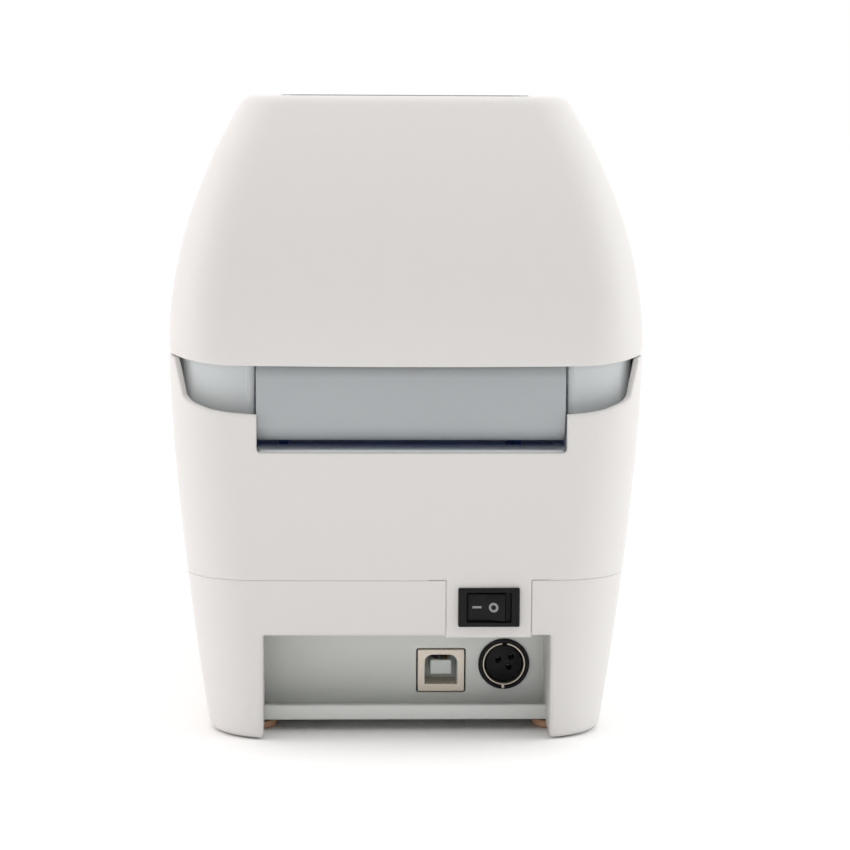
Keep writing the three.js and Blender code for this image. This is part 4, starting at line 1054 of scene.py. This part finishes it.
def usb_outline(half_x, half_z, shoulder):
    """Type B outline as (z, x): square below, with two rounded shoulders above."""
    low = [(-half_z, -half_x), (-half_z, half_x)]
    right = arc(half_z - shoulder, half_x - shoulder, shoulder, 90, 0, 8)
    left = arc(half_z - shoulder, shoulder - half_x, shoulder, 0, -90, 8)
    return low + right + left


USB_MOUTH = USB + Vector((0, 0, 0.3))


def usb_socket():
    outer = rounded(-5.4, 5.4, -6, 6, 0.4, 4)
    shell = make("usb_socket_shell", prism("y", outer, -17, 0.5, 0.15, 2), SOCKET_TIN)
    carve(shell, [prism("y", usb_outline(4.3, 3.9, 2.1), -9, 3, 0.0).moved(at(z=0.3))], sharp=30)
    return put(shell, USB)


def usb_insert():
    tongue = block(-2.7, 2.7, -9.5, -0.1, -1.35, 2.35, 0.2)
    back = prism("y", usb_outline(4.25, 3.85, 2.0), -10, -8.6, 0)
    outer, inner = usb_outline(4.35, 3.95, 2.1), usb_outline(4.1, 3.7, 1.95)
    sleeve = outer[1:] + outer[:1] + inner[:1] + inner[:0:-1]
    return collect(tongue, back, prism("y", sleeve, -8.7, -0.4, 0)).moved(at(*USB_MOUTH))


def usb_contacts():
    strips = [block(x - 0.45, x + 0.45, -8.5, -1.0, z - 0.1, z + 0.1, 0.05, 1)
              for x in (-1.35, 1.35) for z in (-1.42, 2.42)]
    return collect(*strips).moved(at(*USB_MOUTH))


def usb_spring_slot_shade():
    """Black blocks in the top of the mouth: painted shade for the two spring slots over the tongue.
    """
    slot_shade_blocks = [block(x - 0.7, x + 0.7, -2.5, -0.2, 2.85, 3.8, 0.3, 3) for x in (-0.8, 1.5)]
    return collect(*slot_shade_blocks).moved(at(*USB_MOUTH))


piece("usb_socket_shell", usb_socket(), SOCKET_TIN, "base", "usb_shell")
piece("usb_socket_insert", usb_insert(), SOCKET_GREY, "base", "usb_insert")
piece("usb_contacts", usb_contacts(), BRASS, "base")
# Black blocks that paint the shade inside the USB mouth's spring slots.
piece("usb_spring_slot_shade", usb_spring_slot_shade(), BLACK, "base")

JACK_HOLES = ((1.4, 0.9), (-1.95, 1.6), (-1.3, -1.07))


def power_jack():
    collar = [(5.6, -2), (5.6, 0.8), (5.75, 1.0), (6.3, 1.0), (6.5, 0.8), (6.5, -2)]
    body = make("power_jack_body", turned("y", 0, 0, collar, 72), BLACK)
    core = make("core", bar("y", 0, 0, 4.75, -8, -0.6, 0.25, 72), BLACK)
    carve(core, [bar("y", z, x, 0.8, -6, 1, 0.01, 28) for x, z in JACK_HOLES], sharp=30)
    merge(body, core)
    merge(body, block(-7, 7, -18, -8, -6.8, 6.8, 0.3))
    merge(body, ring("y", 0, 0, 5.56, 6.4, -9, -1.6, 0.1, 72))
    return put(body, JACK)


def jack_ring():
    shell = make("power_jack_ring", ring("y", 0, 0, 5.12, 5.52, -10, 0.7, 0.1, 72), TIN)
    carve(shell, [block(-0.85, 0.45, -3, 3, 4.2, 7, 0)], sharp=30)
    merge(shell, block(-0.1, 0.6, -2, 1.15, -6.3, -5.4, 0.1))
    return put(shell, JACK)


def jack_pins():
    pins = [bar("y", z, x, 0.4, -7.5, -4.5, 0.1, 20) for x, z in JACK_HOLES]
    return collect(*pins).moved(at(*JACK))


piece("power_jack_body", power_jack(), BLACK, "base", "power_jack_housing")
piece("power_jack_ring", jack_ring(), TIN, "base", "power_jack_shell")
piece("power_jack_pins", jack_pins(), STEEL, "base")

# --- feet

FOOT_PROFILE = [(0, 0.25), (2.6, 0.25), (3.0, 0.0), (4.3, 0.0), (4.8, 0.3), (5.0, 0.9), (4.9, 1.9),
                (0, 1.9)]

for name in FEET:
    foot = turned("z", *foot_middle(name), FOOT_PROFILE, 40)
    piece(name + "_pad", foot, FOOT_RUBBER, "base", name)

# --- front exit and controls


def bezel():
    points = [(-95.6, 78.9), (-86.6, 78.9), (-86.6, 83.0), (-91.2, 83.0)]
    points += curve((-91.2, 83.0), (-94.4, 82.6), (-95.6, 80.4), 8)[1:]
    return prism("x", points, -37.6, 37.6, 0.3, 2, 40)


def tear_bar():
    points = [(32, -86.8), (-32, -86.8)]
    for x in range(-32, 32):
        points += [(x, -91.9), (x + 0.5, -92.8)]
    return prism("z", points + [(32, -91.9)], 83.25, 84.0, 0)


def feed_button():
    cap = prism("y", rounded(-5, 5, -12, 12, 4.6, 12), 0.0, 5.9, 0.5, 4, 40)
    flange = prism("y", rounded(-6.4, 6.4, -13.4, 13.4, 5, 10), 5.8, 6.5, 0.15, 2, 40)
    stem = block(-1.6, 1.6, 6.4, 7.1, -1.6, 1.6, 0.1)
    return collect(cap, flange, stem).moved(at(0, corner_mm("feed_button")[0].y, BUTTON_Z))


def light_pipe(x):
    profile = [(0, -0.1), (0.9, -0.05), (1.5, 0.1), (1.85, 0.45), (1.85, 5.1), (0, 5.1)]
    return turned("y", 0, 0, profile, 32).moved(at(x, -96.9, LIGHT_Z))


piece("front_bezel_trim", bezel(), DARK, "base", "front_bezel")
piece("tear_bar_blade", tear_bar(), STEEL, "base", "tear_bar")
piece("feed_button_cap", feed_button(), BLUE, "button", "feed_button")
piece("power_light_pipe", light_pipe(-LIGHT_X), PIPE_GREEN, "base", "power_light")
piece("status_light_pipe", light_pipe(LIGHT_X), PIPE_AMBER, "base", "status_light")

# --- springs and cable

HEAD_SPRING_LOW = 90.2


def coil(centre, radius, length, turns, wire_radius):
    """An upright coil spring with two flattened end turns."""
    steps = turns * 18
    path = []
    for i in range(steps + 1):
        t = i / steps
        rise = min(max((t - 0.12) / 0.76, 0), 1)
        a = 2 * pi * turns * t
        path.append((centre[0] + radius * cos(a), centre[1] + radius * sin(a),
                     centre[2] + wire_radius + (length - 2 * wire_radius) * rise))
    return wire(path, wire_radius, 10)


def latch_spring():
    """A torsion spring on the release rod, one leg on the chassis and one on the lever."""
    radius, turns, steps = 2.9, 3, 24
    path = [(-38.2, -radius, z) for z in (-12, -6, -1.5)]
    for i in range(turns * steps + 1):
        a = pi + i / steps * 2 * pi
        path.append((-38.4 - i / (turns * steps) * 4.4, radius * cos(a), -radius * sin(a)))
    path += [(-43, -radius, z) for z in (2, 6, 12)]
    rod = centre_mm("latch_rod")
    return wire([(x, y + rod.y, z + rod.z) for x, y, z in path], 0.4, 10)


CABLE_PATH = [(-36.9, 47, 10.2), (-44, 50, 12.4), (-48.2, 60, 22), (-48.7, 66, 32), (-49, 74, 50),
              (-49.6, 81, 66), (-50, 82.5, 78), (-50, 84.0, 88), (-48.6, 83.0, 97),
              (-49, 74, 102.4), (-50, 48, 103.8), (-50, 20, 104), (-50, -12, 104), (-50, -44, 104),
              (-42, -57, 102.6), (-28, -60, 101)]

for side, name in SIDES:
    spot, top = centre_mm("head_spring_" + name), corner_mm("head_spring_" + name)[1].z
    spring = coil((spot.x, spot.y, HEAD_SPRING_LOW), 2.4, top - HEAD_SPRING_LOW, 5, 0.45)
    spring = piece(f"head_spring_{name}_coil", spring, STEEL, "head", "head_spring_" + name)
    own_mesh(spring)
piece("latch_spring_coil", latch_spring(), STEEL, "base", "latch_spring")
cable = make("head_cable", wire(smooth_path(CABLE_PATH, 10), 1.1, 12), CABLE)
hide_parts("head_cable_lid", "head_cable_base")
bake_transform(cable)

# --- media guides and roll hubs

ROLL_Y, ROLL_Z = 15.0, 78.0
GUIDE_X, GUIDE_WALL = 30.5, 2.4
RACK_LOW, RACK_HIGH = 20.2, 23.6


def guide_outline(scale=1.0, middle=52):
    """Side shape of a guide, as (y, z), shrunk about its middle height."""
    points = [(-19, 26.6), (19, 26.6), (19, 32)]
    points += curve((19, 32), (14, 44), (15.57, 71.96), 12)[1:]
    points += arc(0, ROLL_Z, 16.7, -21, 201, 28)[1:-1]
    points += curve((-15.57, 71.96), (-14, 44), (-19, 32), 12)
    return [(ROLL_Y + y * scale, middle + (z - middle) * scale) for y, z in points]


def guide_rack():
    pitch, slope = pi, tan(radians(20))
    tip, root = 7.1, 9.2
    half_line = pitch / 4 - 0.1
    half_tip, half_root = half_line - 0.9 * slope, half_line + 1.2 * slope
    x0, x1 = -9, GUIDE_X + GUIDE_WALL
    points = [(x1, 12.2), (x0, 12.2), (x0, root)]
    n = ceil(x0 / pitch)
    while (n + 0.5) * pitch < x1:
        x = n * pitch
        points += [(x - half_root, root), (x - half_tip, tip), (x + half_tip, tip),
                   (x + half_root, root)]
        n += 1
    points.append((x1, root))
    return prism("z", [(x, ROLL_Y + y) for x, y in points], RACK_LOW, RACK_HIGH, 0)


def guide():
    plate = prism("x", guide_outline(), GUIDE_X, GUIDE_X + GUIDE_WALL, 0.6, 4, 40)
    panel = make("guide", plate, BLUE)
    carve(panel, [prism("x", guide_outline(0.84), GUIDE_X + 1.5, GUIDE_X + 4, 0)])
    hub_seat = bar("x", ROLL_Y, ROLL_Z, 9.5, GUIDE_X, GUIDE_X + 3, 0.4, 48)
    merge(panel, collect(
        hub_seat, guide_rack(),
        block(GUIDE_X, GUIDE_X + GUIDE_WALL, ROLL_Y + 9.4, ROLL_Y + 12.2, RACK_LOW, 28, 0.3),
        bar("x", ROLL_Y, ROLL_Z, 4.9, GUIDE_X - 6.6, GUIDE_X + 1, 0.5, 40),
        *[block(GUIDE_X + 1, GUIDE_X + 2.35, ROLL_Y + y - 0.5, ROLL_Y + y + 0.5, 30, 68, 0.25)
          for y in (-7, 7)]))
    return panel


def hub():
    """A roll hub on the right guide, with four grips round its rim."""
    x = GUIDE_X - 0.3
    profile = [(5.2, 0), (12.0, 0), (12.2, 0.2), (12.2, 1.2), (12.0, 1.5), (11.5, 1.8), (11.3, 2.4),
               (10.9, 7.0), (10.5, 7.6), (8.9, 7.6), (8.6, 7.2), (8.4, 2.0), (6.8, 2.0), (6.6, 7.3),
               (6.4, 7.6), (5.4, 7.6), (5.2, 7.3)]
    solid = turned("x", ROLL_Y, ROLL_Z, [(r, x - along) for r, along in profile], 64)
    for a in [pi / 2 * n for n in range(4)]:
        solid.take(bar("x", ROLL_Y + 11.4 * cos(a), ROLL_Z + 11.4 * sin(a), 0.9, x - 6.6, x - 0.6,
                       0.3, 16))
        y, z = ROLL_Y + 7.6 * cos(a + pi / 4), ROLL_Z + 7.6 * sin(a + pi / 4)
        solid.take(block(x - 6.5, x - 1.9, y - 0.5, y + 0.5, z - 0.5, z + 0.5, 0.1))
    return make("hub", solid, NYLON)


HALF_TURN = at(y=2 * ROLL_Y * MM) @ Matrix.Rotation(pi, 4, "Z")

for build, name, mat, cad_name, body in ((guide, "guide_plate", BLUE, "media_guide", "guide"),
                                         (hub, "hub_cap", NYLON, "roll_hub", "hub")):
    for _, side in SIDES:
        obj = build()
        if side == "left":
            obj.data.transform(HALF_TURN)
        obj.name = f"{name}_{side}"
        piece(obj.name, obj, mat, f"{body}_{side}", f"{cad_name}_{side}")

# --- platen, print head and motor

PLATEN = centre_mm("platen_rubber").yz


def platen_axle():
    low, high = corner_mm("platen_shaft")
    clips = [ring("x", *PLATEN, 2.4, 3.3, x, x + 0.5, 0.08, 40) for x in (-37.2, 36.4)]
    return collect(bar("x", *PLATEN, 2.45, low.x, high.x, 0.4, 48), *clips)


def bushing(side):
    profile = [(2.65, 0), (5.4, 0), (5.6, 0.2), (5.6, 1.3), (5.4, 1.5), (3.95, 1.5), (3.95, 3.9),
               (3.65, 4.2), (2.9, 4.2), (2.65, 3.9)]
    return turned("x", *PLATEN, [(r, side * 32.2 + side * along) for r, along in profile], 48)


def head_board():
    board = block(-31.6, 31.6, -84, -66, 86.2, 87.7, 0.25)
    pads = [block(x - 0.5, x + 0.5, -70.6, -69.6, 86.1, 86.3, 0.05, 1) for x in range(-11, 12, 2)]
    return collect(board, *pads)


def head_connector():
    shell = make("head_connector", block(-12, 12, -69.5, -66, 83.6, 86.3, 0.3), NYLON)
    return carve(shell, [block(x - 0.45, x + 0.45, -68.6, -64, 84.2, 85.2, 0)
                         for x in range(-10, 11, 2)])


HEATER_LINE = prism("x", arc(PLATEN[0], 86.6, 2.2, 185, 355, 14), -30, 30, 0)
RESIN_BEAD = prism("x", arc(-72.3, 86.4, 1.5, 190, 350, 12), -27, 27, 0.3)

piece("platen_axle", platen_axle(), STEEL, "platen", "platen_shaft")
piece("platen_sleeve", ring("x", *PLATEN, 2.6, 7.0, -31, 31, 0.35, 72), PLATEN_RUBBER, "platen",
      "platen_rubber")
for side, name in SIDES:
    piece(f"bushing_{name}", bushing(side), NYLON, "base", "platen_bushing_" + name)
piece("head_board", head_board(), CERAMIC, "head", "print_head")
piece("head_heater_line", HEATER_LINE, GLAZE, "head")
piece("head_resin_bead", RESIN_BEAD, BLACK, "head")
piece("head_connector", head_connector(), NYLON, "head")


def motor():
    y, z = centre_mm("motor_shaft").yz
    can = [(0, 12), (16.6, 12), (17.3, 12.6), (17.5, 13.4), (17.5, 21.4), (17.2, 21.7),
           (17.2, 22.3), (17.5, 22.6), (17.5, 31.8), (17.2, 32.4), (0, 32.4)]
    outline = [(y + a, z + b) for a, b in rounded(-10, 10, -17.4, 17.4, 4.9, 10)]
    flange = make("motor", prism("x", outline, 32.3, 33.7, 0.15), STEEL)
    carve(flange, [bar("x", y, z + s * 14.2, 1.6, 30, 36, 0.01, 28) for s in (1, -1)])
    merge(flange, collect(turned("x", y, z, can, 72),
                          ring("x", y, z, 1.25, 5.0, 33.6, 35.8, 0.3, 40)))
    return flange


piece("motor_can", motor(), STEEL, "base", "motor_body")

# --- boards

BOARD_LOW, BOARD_TOP = 6.2, 7.8


def chip_leads(x0, x1, y0, y1):
    """The two rows of leads along a chip."""
    leads = []
    x = x0 + 0.8
    while x < x1 - 0.5:
        for ya, yb in ((y0 - 0.9, y0), (y1, y1 + 0.9)):
            leads.append(block(x - 0.2, x + 0.2, ya, yb, BOARD_TOP, BOARD_TOP + 0.25, 0.05, 1))
        x += 1.3
    return collect(*leads)


CHIPS = [((8, 20, -12, 0), 1.4), ((-24, -14, -30, -22), 1.8), ((-6, 0, 14, 22), 1.2),
         ((16, 24, 26, 31), 1.2)]
SMALL_PARTS = [(-18, 2), (-14, 2), (-10, 2), (2, -20), (5, -20), (8, -20), (24, 8), (27, 8),
               (0, 34), (4, 34), (8, 34), (-12, 40), (-16, 40)]


def logic_board():
    low, high = corner_mm("main_board")
    return block(low.x, high.x, low.y, high.y, BOARD_LOW, BOARD_TOP, 0.15, 1)


def board_chips():
    return collect(*[block(*plan, BOARD_TOP + 0.15, BOARD_TOP + height, 0.15)
                     for plan, height in CHIPS])


def board_leads():
    """The leads of the chips, and the small plated parts."""
    small = [block(x - 1.0, x + 1.0, y - 0.6, y + 0.6, BOARD_TOP, BOARD_TOP + 0.8, 0.12)
             for x, y in SMALL_PARTS]
    return collect(*[chip_leads(*plan) for plan, _ in CHIPS], *small)


def board_sockets():
    return collect(block(-35.2, -30, 40, 54, 7.7, 12, 0.3), block(14, 30, -38, -33, 7.7, 13, 0.3))


piece("logic_board", logic_board(), BOARD, "base", "main_board")
piece("board_chips", board_chips(), BLACK, "base")
piece("board_leads", board_leads(), TIN, "base")
piece("board_sockets", board_sockets(), NYLON, "base")


def capacitor_can():
    x, y = centre_mm("capacitor").xy
    profile = [(0, BOARD_TOP), (4.6, BOARD_TOP), (5.0, 8.2), (5.0, 8.8), (4.75, 9.1), (4.75, 9.4),
               (5.0, 9.7), (5.0, 16.8), (4.7, 17.4), (4.3, 17.4), (4.1, 17.2), (0, 17.2)]
    can = make("capacitor_can", turned("z", x, y, profile, 48), BLACK)
    return carve(can, [block(x - half_x, x + half_x, y - half_y, y + half_y, 17.0, 18, 0)
                       for half_x, half_y in ((3.4, 0.15), (0.15, 3.4))], sharp=30)


piece("capacitor_can", capacitor_can(), BLACK, "base", "capacitor")

# --- carried-over CAD nodes

KEPT = {
    "hinge_pin_right": STEEL, "hinge_pin_left": STEEL, "head_bracket": ALUMINIUM,
    "guide_pinion": NYLON, "rack_cover": DARK, "print_chassis": STEEL, "paper_guide": DARK,
    "gap_sensor": BOARD, "platen_gear": NYLON, "reduction_gear": NYLON, "motor_pinion": BRASS,
    "motor_shaft": STEEL, "latch_rod": STEEL, "latch_lever_right": BLUE,
    "latch_lever_left": BLUE, "control_board": BOARD,
}
KEPT.update({name: STEEL for name in SCREWS})


def smooth_group():
    """A node group that shades a mesh smooth and keeps its creases sharp."""
    group = bpy.data.node_groups.new("smooth_by_angle", "GeometryNodeTree")
    for way in ("INPUT", "OUTPUT"):
        group.interface.new_socket("Geometry", in_out=way, socket_type="NodeSocketGeometry")
    into = node(group, "NodeGroupInput")
    angle = node(group, "GeometryNodeInputMeshEdgeAngle")
    compare = node(group, "FunctionNodeCompare", operation="LESS_THAN")
    compare.inputs[1].default_value = radians(35)
    faces = node(group, "GeometryNodeSetShadeSmooth", domain="FACE", Geometry=into.outputs[0])
    edges = node(group, "GeometryNodeSetShadeSmooth", domain="EDGE", Geometry=faces.outputs[0],
                 Shade_Smooth=compare.outputs[0])
    out = node(group, "NodeGroupOutput")
    group.links.new(angle.outputs["Unsigned Angle"], compare.inputs[0])
    group.links.new(edges.outputs[0], out.inputs[0])
    return group


SMOOTH = smooth_group()

for name, mat in KEPT.items():
    NODES[name].data.materials.clear()
    NODES[name].data.materials.append(mat)
    NODES[name].modifiers.new("weld", "WELD").merge_threshold = 2e-6
    NODES[name].modifiers.new("smooth", "NODES").node_group = SMOOTH

# --- stage, light and camera

TENT_SIDE, TENT_REAR, TENT_TOP = 1.15, 0.18, 0.4


def stage_floor(size=6.0):
    mesh = bpy.data.meshes.new("floor")
    mesh.from_pydata([(-size, -size, 0), (size, -size, 0), (size, size, 0), (-size, size, 0)], [],
                     [(0, 1, 2, 3)])
    mesh.materials.append(FLOOR)
    add_object("floor", mesh)


def area_light(name, location, target, size, watts, color=(1, 1, 1)):
    data = bpy.data.lights.new(name, "AREA")
    data.shape = "RECTANGLE"
    data.size, data.size_y = size
    data.energy = watts
    data.color = color
    lamp = add_object(name, data)
    lamp.location = location
    aim = Vector(target) - Vector(location)
    lamp.rotation_euler = aim.to_track_quat("-Z", "Y").to_euler()


def sky():
    """A white light tent, dimmer on the camera's side and a little warmer on the +X side."""
    world = bpy.data.worlds.new("light_tent")
    bpy.context.scene.world = world
    world.use_nodes = True
    tree = world.node_tree
    tree.nodes.clear()
    where = node(tree, "ShaderNodeTexCoord").outputs["Generated"]
    split = node(tree, "ShaderNodeSeparateXYZ", Vector=where)
    dim = node(tree, "ShaderNodeMapRange", interpolation_type="SMOOTHSTEP",
               Value=split.outputs["Y"], From_Min=-0.1, From_Max=0.95, To_Min=TENT_SIDE,
               To_Max=TENT_REAR)
    lift = node(tree, "ShaderNodeMath", operation="MULTIPLY_ADD", Value=split.outputs["Z"])
    lift.inputs[1].default_value = TENT_TOP
    tree.links.new(dim.outputs["Result"], lift.inputs[2])
    across = node(tree, "ShaderNodeMapRange", Value=split.outputs["X"], From_Min=-0.7, From_Max=0.7)
    warm = node(tree, "ShaderNodeMix", data_type="RGBA", A=(1.0, 1.0, 0.985, 1),
                B=(1.0, 0.965, 0.955, 1), Factor=across.outputs["Result"])
    light = node(tree, "ShaderNodeBackground", Color=warm.outputs["Result"],
                 Strength=lift.outputs["Value"])
    plain = node(tree, "ShaderNodeBackground", Color=(1, 1, 1, 1), Strength=1.0)
    rays = node(tree, "ShaderNodeLightPath")
    mix = node(tree, "ShaderNodeMixShader", Fac=rays.outputs["Is Camera Ray"])
    tree.links.new(light.outputs["Background"], mix.inputs[1])
    tree.links.new(plain.outputs["Background"], mix.inputs[2])
    node(tree, "ShaderNodeOutputWorld", Surface=mix.outputs["Shader"])


def camera():
    data = bpy.data.cameras.new("camera")
    data.lens = 124.3
    data.clip_start = 0.05
    cam = add_object("camera", data)
    cam.location = (0.0222, 0.822, 0.165)
    turn = Matrix.Rotation(radians(180 - 2.09), 3, "Z")
    pitch = Matrix.Rotation(radians(90 - 6.7), 3, "X")
    roll = Matrix.Rotation(radians(0.3), 3, "Z")
    cam.rotation_euler = (turn @ pitch @ roll).to_euler()
    bpy.context.scene.camera = cam


stage_floor()
sky()
area_light("left_panel", (1.1, 0.0, 0.45), (0.03, 0.05, 0.08), (0.9, 0.9), 2.6, (1.0, 0.97, 0.96))
area_light("right_panel", (-1.1, 0.0, 0.45), (-0.03, 0.05, 0.08), (0.9, 0.9), 2.8)
area_light("fill_panel", (0.1, 1.5, 0.22), (0.0, 0.1, 0.07), (0.5, 0.4), 1.6)
area_light("top_panel", (0, 0.1, 1.3), (0, 0, 0.1), (1.2, 1.2), 1.0)
camera()
bpy.context.scene.view_settings.view_transform = "Standard"
